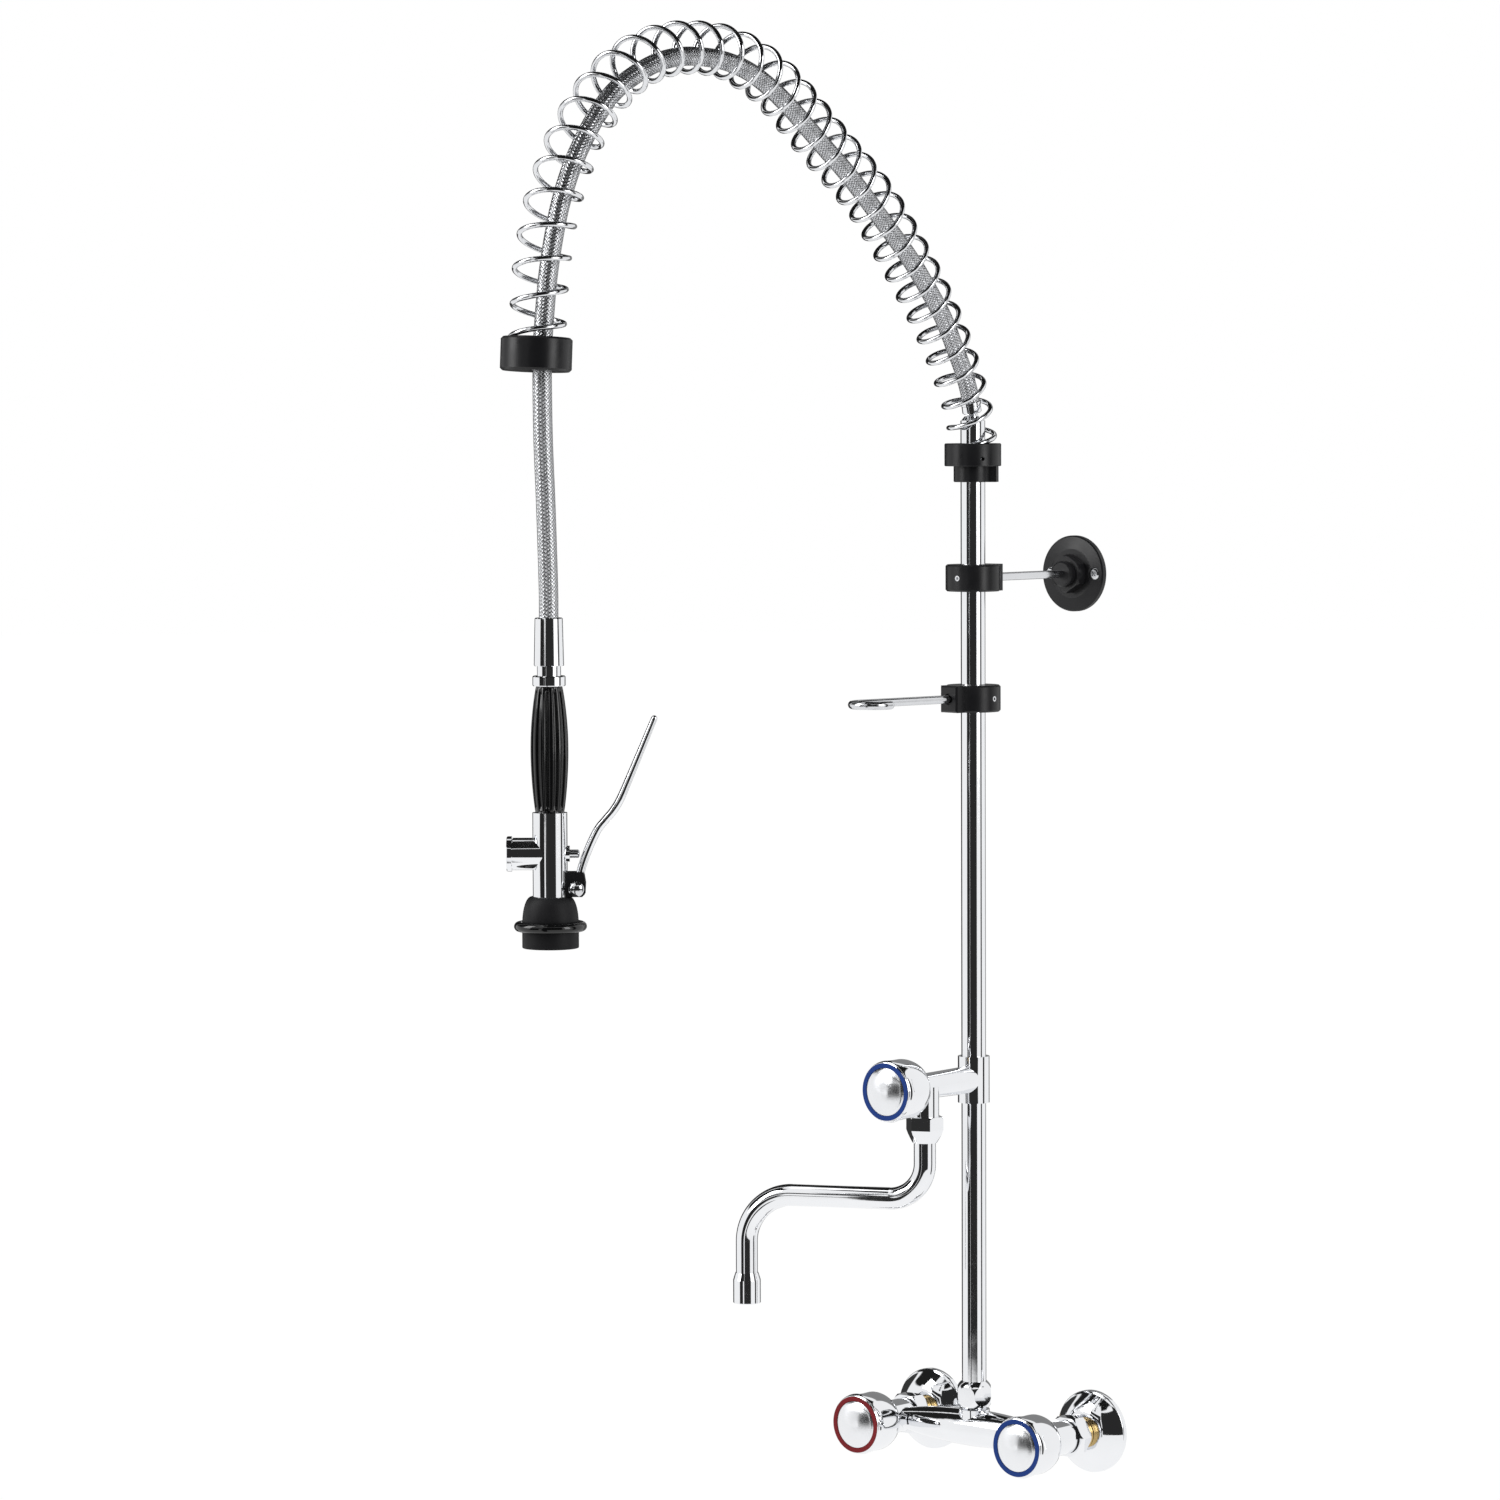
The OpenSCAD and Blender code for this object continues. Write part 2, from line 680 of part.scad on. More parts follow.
// The hose leaves the riser along the lean of its first stretch
tail_bend_z = 739.5;
hose_start = hose_route[0] - [0, tail_bend_z];
hose_lean = atan(hose_start[0] / hose_start[1]);
hose_seat = norm(hose_start) - 0.03;
ferrule_start = 3.2;
ferrule_end = 11.8;

module on_hose_exit() {
    translate([0, -riser_out, tail_bend_z]) rotate([hose_lean, 0, 0]) children();
}

// Turning tail in the riser's open end, with the nipple that carries the hose
module hose_tail() {
    seat = riser_top + 0.05;
    color(chrome) difference() {
        union() {
            on_riser(seat - 14) cylinder(h = 14, r = riser_bore / 2 - run_fit);
            on_riser(seat) cylinder(h = 3, r1 = 8.4, r2 = 6);
            on_hose_exit() translate([0, 0, -1.6]) cylinder(h = hose_seat + 1.6, r = 4);
        }
        on_riser(seat - 15) cylinder(h = 16, r = 2.6);
        on_hose_exit() translate([0, 0, -4]) cylinder(h = 14, r = 2.4);
    }
}

module upper_ferrule() {
    color(chrome) on_hose_exit() difference() {
        rotate_extrude() polygon([
            [0, ferrule_start], [6.4, ferrule_start], [7, ferrule_start + 0.6], [7, ferrule_end - 3],
            [7.4, ferrule_end - 2.6], [7.4, ferrule_end - 0.5], [7, ferrule_end], [0, ferrule_end],
        ]);
        cylinder(h = hose_seat + eps, r = 4);
        translate([0, 0, hose_seat]) cylinder(h = 20, r = hose_d / 2 + 0.1);
    }
}

// Cup on the spring's free end, square to the spring there
module spring_cup() {
    lean = 3.2;
    depth = 18;
    rim_r = 23.9;
    seat = in_space(spring_route[len(spring_route) - 1]);
    color(black) translate(seat) rotate([-lean, 0, 0]) difference() {
        rotate_extrude() polygon([
            [0, -4.5], [rim_r - 1.5, -4.5], [rim_r, -3], [rim_r, depth - 1.5], [rim_r - 1.5, depth], [0, depth],
        ]);
        cylinder(h = depth + 1, r = spring_d / 2 + 0.6);
        // the hose passes the floor on the inner side
        translate([0, 5.5, -6]) cylinder(h = 10, r = hose_d / 2 + 2.5);
    }
}

/* ---- spray gun ---- */

ferrule_bottom = 580;

module lower_ferrule() {
    color(chrome) on_gun(ferrule_bottom) difference() {
        cylinder(h = 26, r = 7.6);
        translate([0, 0, 20 - run_fit]) cylinder(h = 7, r = hose_d / 2 + 0.1);
        translate([0, 0, -1]) cylinder(h = 30, r = 4);
    }
}

module gun_sleeve() {
    color(chrome) on_gun(sleeve_bottom) difference() {
        rotate_extrude() polygon([[0, 0], [9.8, 0], [10.1, 0.3], [9.4, 31.5], [8.8, 32.1], [0, 32.1]]);
        translate([0, 0, -1]) cylinder(h = 30.7, r = 7.6 + run_fit);
        cylinder(h = 40, r = hose_d / 2 + 0.4);
    }
}

// Turned neck between the sleeve and the grip, with its ring and seal spigot
module gun_neck() {
    spigot_bottom = 560;
    color(chrome) on_gun() difference() {
        rotate_extrude() polygon([
            [0, spigot_bottom], [6, spigot_bottom], [6, grip_top], [10.8, grip_top], [11.1, grip_top + 0.5],
            [11.1, neck_bottom - 0.7], [10.5, neck_bottom], [8, neck_bottom], [8, sleeve_bottom],
            [7.5, sleeve_bottom], [7.5, ferrule_bottom - 0.1], [0, ferrule_bottom - 0.1],
        ]);
        translate([0, 0, spigot_bottom - 1]) cylinder(h = 30, r = 4);
    }
}

grip_half = (grip_top - grip_bottom) / 2;
function grip_at(t) = let (end_r = t > 0 ? 8.7 : 9.6) end_r + (grip_r - end_r) * pow(cos(90 * t), 0.8);
grip_side = [for (i = [-10:10]) let (t = i / 10) [grip_at(t), grip_bottom + grip_half * (1 + t)]];

// Barrel-shaped grip with rounded ribs between its flutes
module grip() {
    color(black) on_gun() difference() {
        union() {
            rotate_extrude() polygon(concat(
                [[6, grip_bottom]], [for (p = grip_side) p - [1.5, 0]], [[6, grip_top]]));
            for (i = [0:grip_flutes - 1]) rotate([0, 0, i * 360 / grip_flutes])
                rotate_extrude(angle = 216 / grip_flutes) polygon(concat(
                    [[6, grip_bottom]], grip_side, [[6, grip_top]]));
            translate([0, 0, grip_bottom]) tube(9.6, 6, 2);
            translate([0, 0, grip_top - 2]) tube(8.7, 6, 2);
        }
        translate([0, 0, grip_bottom - 1]) cylinder(h = grip_half * 2 + 2, r = 6);
    }
}

module gun_body() {
    feed_z = chamber_z + 17;
    color(chrome) on_gun() difference() {
        union() {
            translate([0, 0, body_bottom]) cylinder(h = grip_bottom - body_bottom, r = body_r);
            translate([0, 0, body_bottom - 9]) cylinder(h = 9 + eps, r = 9);
            translate([0, 0, grip_bottom - eps]) cylinder(h = 80, r = 5.95);
            translate([0, 0, chamber_z]) rotate([0, -90, 0]) cylinder(h = chamber_end - 4, r = chamber_r);
            // gland of the plunger
            translate([0, 0, chamber_z]) rotate([0, 90, 0]) cylinder(h = 13.2, r = 5.4);
        }
        translate([0, 0, body_bottom - 10]) cylinder(h = chamber_z - body_bottom + 10, r = 5);
        // the water comes down the grip and slants into the chamber behind the seat
        translate([0, 0, feed_z]) cylinder(h = 120, r = 4);
        translate([0, 0, feed_z + 2]) rotate([0, -135, 0]) cylinder(h = 16, r = 2.5);
        translate([-8, 0, chamber_z]) rotate([0, -90, 0]) cylinder(h = 30, r = 9.2);
        translate([-9, 0, chamber_z]) rotate([0, 90, 0]) cylinder(h = 13, r = 4.5);
        translate([0, 0, chamber_z]) rotate([0, 90, 0]) cylinder(h = 20, r = plunger_r + run_fit);
    }
}

module chamber_cap() {
    color(chrome) on_gun(chamber_z) rotate([0, -90, 0]) {
        translate([0, 0, chamber_end - 4]) cylinder(h = 0.6, r = chamber_r - 0.9);
        translate([0, 0, chamber_end - 3.4]) cylinder(h = 2.9, r = 11.8);
        translate([0, 0, chamber_end - 0.5 - eps]) cylinder(h = 0.5 + eps, r1 = 11.8, r2 = 11.3);
        translate([0, 0, chamber_end - 7]) cylinder(h = 3 + eps, r = 9.15);
    }
}

seal_back = 13;
valve_spring_turns = 3;

// Plunger pushed by the lever, with its head and seal behind the seat
module valve_plunger() {
    color(steel) on_gun(chamber_z) rotate([0, 90, 0]) {
        translate([0, 0, -seal_back]) cylinder(h = seal_back + 18.8, r = plunger_r);
        translate([0, 0, 18.8 - eps]) cylinder(h = 0.8, r1 = plunger_r, r2 = plunger_r - 0.8);
        translate([0, 0, -seal_back]) cylinder(h = 2.4, r = 8);
    }
    color(rubber) on_gun(chamber_z) rotate([0, 90, 0]) translate([0, 0, -10.6]) tube(7.4, plunger_r, 2.55);
}

module valve_spring() {
    start = -(chamber_end - 7);
    turn_r = 6;
    wire = 1.2;
    rings = spring_rings(-seal_back - start, valve_spring_turns, wire, turn_r, 0);
    points = [for (ring = rings) [start + ring[0], turn_r * cos(ring[1]), turn_r * sin(ring[1])]];
    color(steel) on_gun(chamber_z)
        swept_tube(points, [for (p = points) [0, -p[1], -p[2]]], [for (p = points) wire / 2], 6);
}

// Rubber nozzle dome with the groove of its bumper ring
module nozzle_dome() {
    shoulder_z = 404;
    color(rubber) on_gun() difference() {
        rotate_extrude() polygon(concat(
            [[0, dome_bottom], [dome_r - 0.6, dome_bottom],
                [dome_r, dome_bottom + 0.6], [dome_r, shoulder_z]],
            [for (i = [0:8]) let (a = 90 * i / 8)
                [12.8 + (dome_r - 12.9) * cos(a), shoulder_z + (body_bottom - shoulder_z) * sin(a)]],
            [[0, body_bottom]]
        ));
        translate([0, 0, bumper_z]) bumper();
        translate([0, 0, body_bottom - 9]) cylinder(h = 10, r = 9);
        translate([0, 0, 395]) cylinder(h = 20, r = 5);
        translate([0, 0, dome_bottom - 1]) cylinder(h = 8.5, r = 16);
    }
}

module bumper() {
    rotate_extrude() translate([bumper_r - bumper_wire_r, 0]) circle(r = bumper_wire_r);
}

module bumper_ring() {
    color(black) on_gun(bumper_z) bumper();
}

// Spray plate with three rings of jets
module spray_plate() {
    color(steel) on_gun(dome_bottom + 2.5) difference() {
        cylinder(h = 5, r = 15.95);
        translate([0, 0, 2]) cylinder(h = 4, r = 13);
        for (ring = [[1, 0], [6, 4], [12, 8], [18, 11.6]], i = [0:ring[0] - 1])
            rotate([0, 0, i * 360 / ring[0]]) translate([ring[1], 0, -1]) cylinder(h = 4, r = 0.9, $fn = 16);
    }
}

cheek_out = 5.9;

// Forked bracket: two cheeks on a web that seats on the gun body
module lever_bracket() {
    cheek_in = 3.1;
    cheek_top = 438.6;
    color(black) on_gun() difference() {
        union() {
            for (side = [-1, 1]) translate([0, side * (cheek_out + cheek_in) / 2, 0]) rotate([90, 0, 0])
                linear_extrude(cheek_out - cheek_in, center = true) polygon([
                    [8, body_bottom], [21.5, body_bottom], [23.4, 424], [23.8, 431],
                    [22.6, cheek_top], [8, cheek_top],
                ]);
            translate([8, -cheek_out, body_bottom]) cube([5, 2 * cheek_out, cheek_top - body_bottom]);
        }
        translate([0, 0, body_bottom - 1]) cylinder(h = 30, r = body_r);
        translate([pivot_x, 0, pivot_z]) rotate([90, 0, 0]) cylinder(h = 30, r = pivot_r, center = true);
    }
}

// Pivot screw: a slotted domed head on one cheek, a hexagon nut on the other
module pivot_screw() {
    head_r = 5.2;
    rise = 2.6;
    ball = (head_r * head_r + rise * rise) / (2 * rise);
    color(steel) on_gun(pivot_z) translate([pivot_x, 0, 0]) rotate([90, 0, 0]) difference() {
        union() {
            translate([0, 0, -cheek_out - 1]) cylinder(h = 2 * cheek_out + 1.2, r = pivot_r);
            translate([0, 0, cheek_out]) cylinder(h = 1, r = head_r);
            translate([0, 0, cheek_out + 1 - eps]) intersection() {
                translate([0, 0, rise - ball]) sphere(r = ball, $fn = 96);
                cylinder(h = rise + 1, r = head_r);
            }
            translate([0, 0, -cheek_out - 2.5]) cylinder(h = 2.5, r = 3.5, $fn = 6);
        }
        // slot
        translate([0, 0, cheek_out + 3.1]) cube([12, 1, 2], center = true);
    }
}

// Route of the lever's rod in the gun's lever plane, from the eye to the thumb end
lever_route = [
    [18.8, 430.6], [21.1, 441.3], [25.7, 454], [31.6, 466.2], [36.9, 473], [42.3, 479.4],
    [47.1, 487.3], [53.1, 501], [61.8, 521.5], [70, 541],
];
lever_r = 2.75;
lever_tip_r = 2.1;
lever_taper_from = 6;

// Lever: an eye on the pivot and one bent rod that tapers to a round tip
module gun_lever() {
    eye_r = 4.3;
    eye_w = 5.8;
    per = 3;
    line = smooth(lever_route, per);
    last = len(line) - 1;
    taper = [[lever_taper_from * per, lever_r], [last, lever_tip_r]];
    tip_dir = unit(line[last] - line[last - 1]);
    points = concat(
        [for (p = line) [p[0], 0, p[1]]],
        [for (a = [30, 60, 80]) let (p = line[last] + lever_tip_r * sin(a) * tip_dir) [p[0], 0, p[1]]]
    );
    radii = concat([for (i = [0:last]) lookup(i, taper)], [for (a = [30, 60, 80]) lever_tip_r * cos(a)]);
    color(chrome) on_gun() difference() {
        union() {
            translate([pivot_x, 0, pivot_z]) rotate([90, 0, 0]) cylinder(h = eye_w, r = eye_r, center = true);
            swept_tube(points, [for (p = points) [0, 1, 0]], radii, 12);
        }
        translate([pivot_x, 0, pivot_z]) rotate([90, 0, 0])
            cylinder(h = 20, r = pivot_r + run_fit, center = true);
    }
}

/* ---- collars, hook and wall bracket ---- */

// Outline from the axis out to a far side whose two corners are cut
function cut_corners(out, half) = [
    [0, -half], [out - collar_edge, -half], [out, collar_edge - half],
    [out, half - collar_edge], [out - collar_edge, half], [0, half],
];

// Collar round the riser with a square block towards +X that holds a rod
module collar(bore, screw_at) {
    difference() {
        union() {
            rotate_extrude() polygon(cut_corners(collar_r, collar_h / 2));
            intersection() {
                linear_extrude(collar_h, center = true) polygon(cut_corners(block_out, block_w / 2));
                rotate([90, 0, 0]) linear_extrude(block_w, center = true)
                    polygon(cut_corners(block_out, collar_h / 2));
            }
        }
        cylinder(h = collar_h + 2, r = bore, center = true);
        translate([block_out - 11, 0, 0]) rotate([0, 90, 0]) cylinder(h = 20, r = rod_r);
        translate([block_out - 1.5, 0, 0]) rotate([0, 90, 0]) cylinder(h = 4, r = rod_r + 1.2);
        rotate([0, 0, screw_at]) translate([riser_r - 2, 0, 0]) rotate([0, 90, 0]) cylinder(h = 30, r = 2);
    }
}

// Socket-headed set screw of a collar, flush with the collar's side
module collar_screw(screw_at, inner) {
    rotate([0, 0, screw_at]) translate([inner, 0, 0]) rotate([0, 90, 0]) difference() {
        cylinder(h = collar_r - inner - 0.2, r = 2);
        translate([0, 0, collar_r - inner - 2.6]) cylinder(h = 3, r = 1.1, $fn = 6);
    }
}

hook_screw_at = 98;
wall_screw_at = 183;

module hook_collar() {
    color(black) on_riser(hook_z, hook_heading) collar(riser_r + run_fit, hook_screw_at);
}

module hook_screw() {
    color(steel) on_riser(hook_z, hook_heading) collar_screw(hook_screw_at, riser_r + 0.1);
}

// Rod that leaves the collar, bends half round to the near side and ends in a ball
module hook_rod() {
    start = block_out - 11;
    tip = 5;
    color(steel) on_riser(hook_z, hook_heading) translate([start, 0, 0]) rotate([0, 90, 0]) rotate([0, 0, 90])
        straight(hook_reach - start, rod_r) bend(180, hook_gap_r, rod_r)
        straight(tip, rod_r) sphere(r = rod_r);
}

module wall_collar() {
    color(black) on_riser(bracket_z, 90) collar(riser_r, wall_screw_at);
}

module wall_collar_screw() {
    color(steel) on_riser(bracket_z, 90) collar_screw(wall_screw_at, riser_r);
}

plate_t = 5.5;
plate_r = 28.2;
plate_screw_x = 20.5;

module wall_rod() {
    start = block_out - 11;
    color(steel) on_riser(bracket_z, 90) translate([start, 0, 0]) rotate([0, 90, 0])
        cylinder(h = bracket_reach - plate_t - start + 2, r = rod_r);
}

// Out of the wall along the rod, z counted from the back of the plate
module on_wall_plate(z = 0) {
    on_riser(bracket_z, 90) translate([bracket_reach - z, 0, 0]) rotate([0, -90, 0]) children();
}

// Hexagon hub with a round collar that clamps the rod in the plate
module wall_hub() {
    color(black) on_wall_plate(plate_t) difference() {
        union() {
            hex_blank(25, 8);
            translate([0, 0, 8 - eps]) cylinder(h = 4, r = 9.5);
            translate([0, 0, 12 - 2 * eps]) cylinder(h = 1.2, r1 = 9.5, r2 = 8.3);
        }
        translate([0, 0, -1]) cylinder(h = 20, r = rod_r);
    }
}

// Round plate with a raised middle and two countersunk screw holes
module wall_plate() {
    color(black) on_wall_plate() difference() {
        rotate_extrude() polygon([
            [0, 0], [plate_r, 0], [plate_r, 3.6], [plate_r - 1, 4.4], [plate_r - 10, plate_t], [0, plate_t],
        ]);
        translate([0, 0, -1]) cylinder(h = 10, r = rod_r);
        for (side = [-1, 1]) translate([0, side * plate_screw_x, 0]) {
            translate([0, 0, -1]) cylinder(h = 10, r = 2.25);
            translate([0, 0, 2.6]) cylinder(h = 3, r1 = 2.25, r2 = 5.25);
        }
    }
}

module wall_plate_screws() {
    color(steel) on_wall_plate() for (side = [-1, 1]) translate([0, side * plate_screw_x, 0]) difference() {
        union() {
            cylinder(h = 4, r = 2.2);
            translate([0, 0, 2.6]) cylinder(h = 2, r1 = 2.25, r2 = 4.25);
            translate([0, 0, 4.6 - eps]) cylinder(h = 0.9, r1 = 4.25, r2 = 3);
        }
        for (turn = [45, 135]) translate([0, 0, 5.2]) rotate([0, 0, turn]) cube([4.4, 0.9, 1.6], center = true);
    }
}

mixer_body();
inlet_unions();
union_nuts();
union_gaskets();
rosettes();
hot_headwork();
cold_headwork();
spout_headwork();
riser_nut();
lower_riser();
valve_tee();
upper_riser();
spout_nut();
wall_collar();
wall_collar_screw();
wall_rod();
wall_hub();
wall_plate();
wall_plate_screws();
hot_knob();
hot_index_ring();
hot_cap();
hot_spindle();
cold_knob();
cold_index_ring();
cold_cap();
cold_spindle();
spout_knob();
spout_index_ring();
spout_cap();
spout_spindle();
spout_tube();
spout_seal();
aerator_shell();
aerator_insert();
base_cup();
base_cup_screw();
hose_tail();
upper_ferrule();
arch_spring();
hose();
spring_cup();
lower_ferrule();
gun_sleeve();
gun_neck();
grip();
gun_body();
chamber_cap();
valve_spring();
nozzle_dome();
bumper_ring();
spray_plate();
lever_bracket();
pivot_screw();
gun_lever();
valve_plunger();
hook_collar();
hook_rod();
hook_screw();
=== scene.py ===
import bpy
import json
import math
from mathutils import Matrix, Vector


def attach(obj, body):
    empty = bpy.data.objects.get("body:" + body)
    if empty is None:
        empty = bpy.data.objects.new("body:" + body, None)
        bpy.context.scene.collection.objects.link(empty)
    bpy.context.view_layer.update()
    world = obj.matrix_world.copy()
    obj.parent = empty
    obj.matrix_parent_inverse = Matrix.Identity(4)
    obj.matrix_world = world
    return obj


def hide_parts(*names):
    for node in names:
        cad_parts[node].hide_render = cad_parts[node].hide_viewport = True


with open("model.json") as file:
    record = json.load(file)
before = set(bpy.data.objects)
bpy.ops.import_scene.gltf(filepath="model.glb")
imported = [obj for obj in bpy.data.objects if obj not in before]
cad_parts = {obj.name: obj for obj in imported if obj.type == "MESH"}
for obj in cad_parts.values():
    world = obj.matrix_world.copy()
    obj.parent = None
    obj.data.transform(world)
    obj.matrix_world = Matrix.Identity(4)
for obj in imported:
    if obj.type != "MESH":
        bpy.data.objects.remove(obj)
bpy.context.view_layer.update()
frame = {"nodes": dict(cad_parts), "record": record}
nodes = frame["nodes"]

# Shapes are in millimetres, as in part.scad, until they are placed; the camera and the studio are in metres
MM = 0.001
RISER_OUT = 46.0  # the riser's axis from the wall
GUN_OUT = 455.0  # the gun's axis from the riser's
GUN_HEADING = math.radians(40)
INLET_X = 75  # each inlet's axis from the middle
SPOUT_Z = 257  # the tee's axis above the inlets


def sin_deg(a):
    return math.sin(math.radians(a))


def cos_deg(a):
    return math.cos(math.radians(a))


# ---- camera, at the photograph's viewing angle ----
AZIMUTH, PITCH, ROLL = 40.64, 3.54, -0.22
AIM_RIGHT, AIM_UP, DISTANCE = -0.19243, 0.49608, 4.22565
SENSOR_WIDTH, FOCAL_LENGTH = 36, 138.2
azimuth, pitch, roll = (math.radians(angle) for angle in (AZIMUTH, PITCH, ROLL))
level_right = Vector((math.cos(azimuth), math.sin(azimuth), 0))
level_ahead = Vector((-math.sin(azimuth), math.cos(azimuth), 0))
Z = Vector((0, 0, 1))
ahead = level_ahead * math.cos(pitch) - Z * math.sin(pitch)
level_up = level_ahead * math.sin(pitch) + Z * math.cos(pitch)
right = level_right * math.cos(roll) + level_up * math.sin(roll)
up = -level_right * math.sin(roll) + level_up * math.cos(roll)
eye = level_right * AIM_RIGHT + Z * AIM_UP - ahead * DISTANCE

camera = bpy.data.objects.new("camera", bpy.data.cameras.new("camera"))
bpy.context.scene.collection.objects.link(camera)
camera.data.sensor_width = SENSOR_WIDTH
camera.data.lens = FOCAL_LENGTH
camera.data.clip_start = 0.05
camera.data.clip_end = 40
camera.matrix_world = Matrix((
    (right.x, up.x, -ahead.x, eye.x),
    (right.y, up.y, -ahead.y, eye.y),
    (right.z, up.z, -ahead.z, eye.z),
    (0, 0, 0, 1),
))
bpy.context.scene.camera = camera
bpy.context.scene.view_settings.view_transform = "Standard"


# ---- materials ----
# Most of a noise texture's values lie between these
NOISE_LOW, NOISE_HIGH = 0.3, 0.7
# The hose's braid: strands round it, crossings in a metre of it, wires in a strand, and the relief of each
BRAID_ROUND, BRAID_PER_METRE, STRAND_WIRES = 16, 390, 5
STRAND_ROUNDING, WIRE_RELIEF = 1.6, 0.18


class Graph:
    """A material with a Principled shader, and short calls for the nodes that feed it."""

    def __init__(self, name, color, metallic=0.0, roughness=0.4, **fixed):
        self.material = bpy.data.materials.new(name)
        self.material.use_nodes = True
        self.tree = self.material.node_tree
        self.shader = self.tree.nodes["Principled BSDF"]
        self.shader.inputs["Base Color"].default_value = (*color, 1)
        self.shader.inputs["Metallic"].default_value = metallic
        self.shader.inputs["Roughness"].default_value = roughness
        for socket, value in fixed.items():
            self.shader.inputs[socket.replace("_", " ")].default_value = value
        self.coords = self.tree.nodes.new("ShaderNodeTexCoord")

    def put(self, value, socket):
        """Give a socket a number, a colour or another node's output."""
        if isinstance(value, (int, float)):
            socket.default_value = value
        elif isinstance(value, tuple):
            socket.default_value = (*value, 1)
        else:
            self.tree.links.new(value, socket)

    def math(self, operation, a, b=0.0):
        node = self.tree.nodes.new("ShaderNodeMath")
        node.operation = operation
        self.put(a, node.inputs[0])
        self.put(b, node.inputs[1])
        return node.outputs[0]

    def noise(self, scale, detail=2.0, stretch=None):
        node = self.tree.nodes.new("ShaderNodeTexNoise")
        node.inputs["Scale"].default_value = scale
        node.inputs["Detail"].default_value = detail
        place = self.coords.outputs["Object"]
        if stretch:
            mapping = self.tree.nodes.new("ShaderNodeMapping")
            mapping.inputs["Scale"].default_value = stretch
            self.tree.links.new(place, mapping.inputs["Vector"])
            place = mapping.outputs["Vector"]
        self.tree.links.new(place, node.inputs["Vector"])
        return node.outputs["Fac"]

    def between(self, fac, low, high):
        """A noise value spread over a range."""
        node = self.tree.nodes.new("ShaderNodeMapRange")
        self.tree.links.new(fac, node.inputs["Value"])
        node.inputs["From Min"].default_value = NOISE_LOW
        node.inputs["From Max"].default_value = NOISE_HIGH
        node.inputs["To Min"].default_value = low
        node.inputs["To Max"].default_value = high
        return node.outputs["Result"]

    def mix(self, fac, a, b):
        node = self.tree.nodes.new("ShaderNodeMix")
        node.data_type = "RGBA"
        self.put(fac, node.inputs["Factor"])
        self.put(a, node.inputs["A"])
        self.put(b, node.inputs["B"])
        return node.outputs["Result"]

    def bump(self, height, distance, strength):
        node = self.tree.nodes.new("ShaderNodeBump")
        node.inputs["Distance"].default_value = distance
        node.inputs["Strength"].default_value = strength
        self.tree.links.new(height, node.inputs["Height"])
        self.tree.links.new(node.outputs["Normal"], self.shader.inputs["Normal"])

    def set(self, socket, value):
        self.put(value, self.shader.inputs[socket])


def shaded(color, share):
    return tuple(c * share for c in color)


def polished(name, color, rough_low, rough_high):
    """Plated metal: faint wiping marks in the gloss and a very slight waviness."""
    g = Graph(name, color, metallic=1.0, roughness=rough_low)
    g.set("Roughness", g.between(g.noise(scale=90, detail=5), rough_low, rough_high))
    g.set("Base Color", g.mix(g.noise(scale=35, detail=3), color, shaded(color, 0.94)))
    g.bump(g.noise(scale=140, detail=2), distance=0.00002, strength=0.35)
    return g.material


def brushed(name, color, stretch, roughness):
    """Turned or drawn metal with fine lines along or round it."""
    g = Graph(name, color, metallic=1.0, roughness=roughness)
    lines = g.noise(scale=900, detail=3, stretch=stretch)
    g.set("Roughness", g.between(lines, roughness - 0.08, roughness + 0.1))
    g.set("Base Color", g.mix(lines, color, shaded(color, 0.82)))
    g.bump(lines, distance=0.00004, strength=0.5)
    return g.material


def moulded(name, color, roughness, gloss, grain, depth):
    """Moulded plastic or rubber with a fine grain."""
    g = Graph(name, color, metallic=0.0, roughness=roughness, Specular_IOR_Level=gloss)
    fine = g.noise(scale=grain, detail=4)
    worn = g.noise(scale=60, detail=3)
    g.set("Roughness", g.between(worn, roughness - 0.05, roughness + 0.07))
    g.set("Base Color", g.mix(worn, color, tuple(min(1, c * 1.3 + 0.002) for c in color)))
    g.bump(fine, distance=depth, strength=0.6)
    return g.material


def braided(name):
    """Wire braid on the hose: two families of flat strands that pass over and under each other.
    The tube's own texture coordinates run round it (0..1) and along it, in metres."""
    g = Graph(name, (0.5, 0.51, 0.53), metallic=1.0, roughness=0.32)
    split = g.tree.nodes.new("ShaderNodeSeparateXYZ")
    g.tree.links.new(g.coords.outputs["UV"], split.inputs[0])
    round_it = g.math("MULTIPLY", split.outputs["X"], BRAID_ROUND)
    along = g.math("MULTIPLY", split.outputs["Y"], BRAID_PER_METRE)
    one = g.math("ADD", round_it, along)
    other = g.math("SUBTRACT", round_it, along)

    def height_of(place, on_top):
        """One family's strands with their wires, where that family passes over the other."""
        half_turn = g.math("MULTIPLY", g.math("FRACT", place), math.pi)
        strand = g.math("POWER", g.math("SINE", half_turn), STRAND_ROUNDING)
        wires = g.math("ABSOLUTE", g.math("SINE", g.math("MULTIPLY", place, STRAND_WIRES * math.pi)))
        return g.math("MULTIPLY", g.math("ADD", strand, g.math("MULTIPLY", wires, WIRE_RELIEF)), on_top)

    cells = g.math("ADD", g.math("FLOOR", one), g.math("FLOOR", other))
    over = g.math("FLOORED_MODULO", cells, 2)
    under = g.math("SUBTRACT", 1, over)
    height = g.math("ADD", height_of(one, over), height_of(other, under))
    # Painted shade: the base colour goes near black where the strands dip at their edges and between wires, and
    # bright on their crowns, following the same relief as the bump.
    g.set("Base Color", g.mix(g.math("MINIMUM", height, 1.0), (0.015, 0.015, 0.017), (0.72, 0.73, 0.75)))
    g.set("Roughness", g.between(g.noise(scale=200, detail=3), 0.18, 0.28))
    g.bump(height, distance=0.0004, strength=0.6)
    return g.material


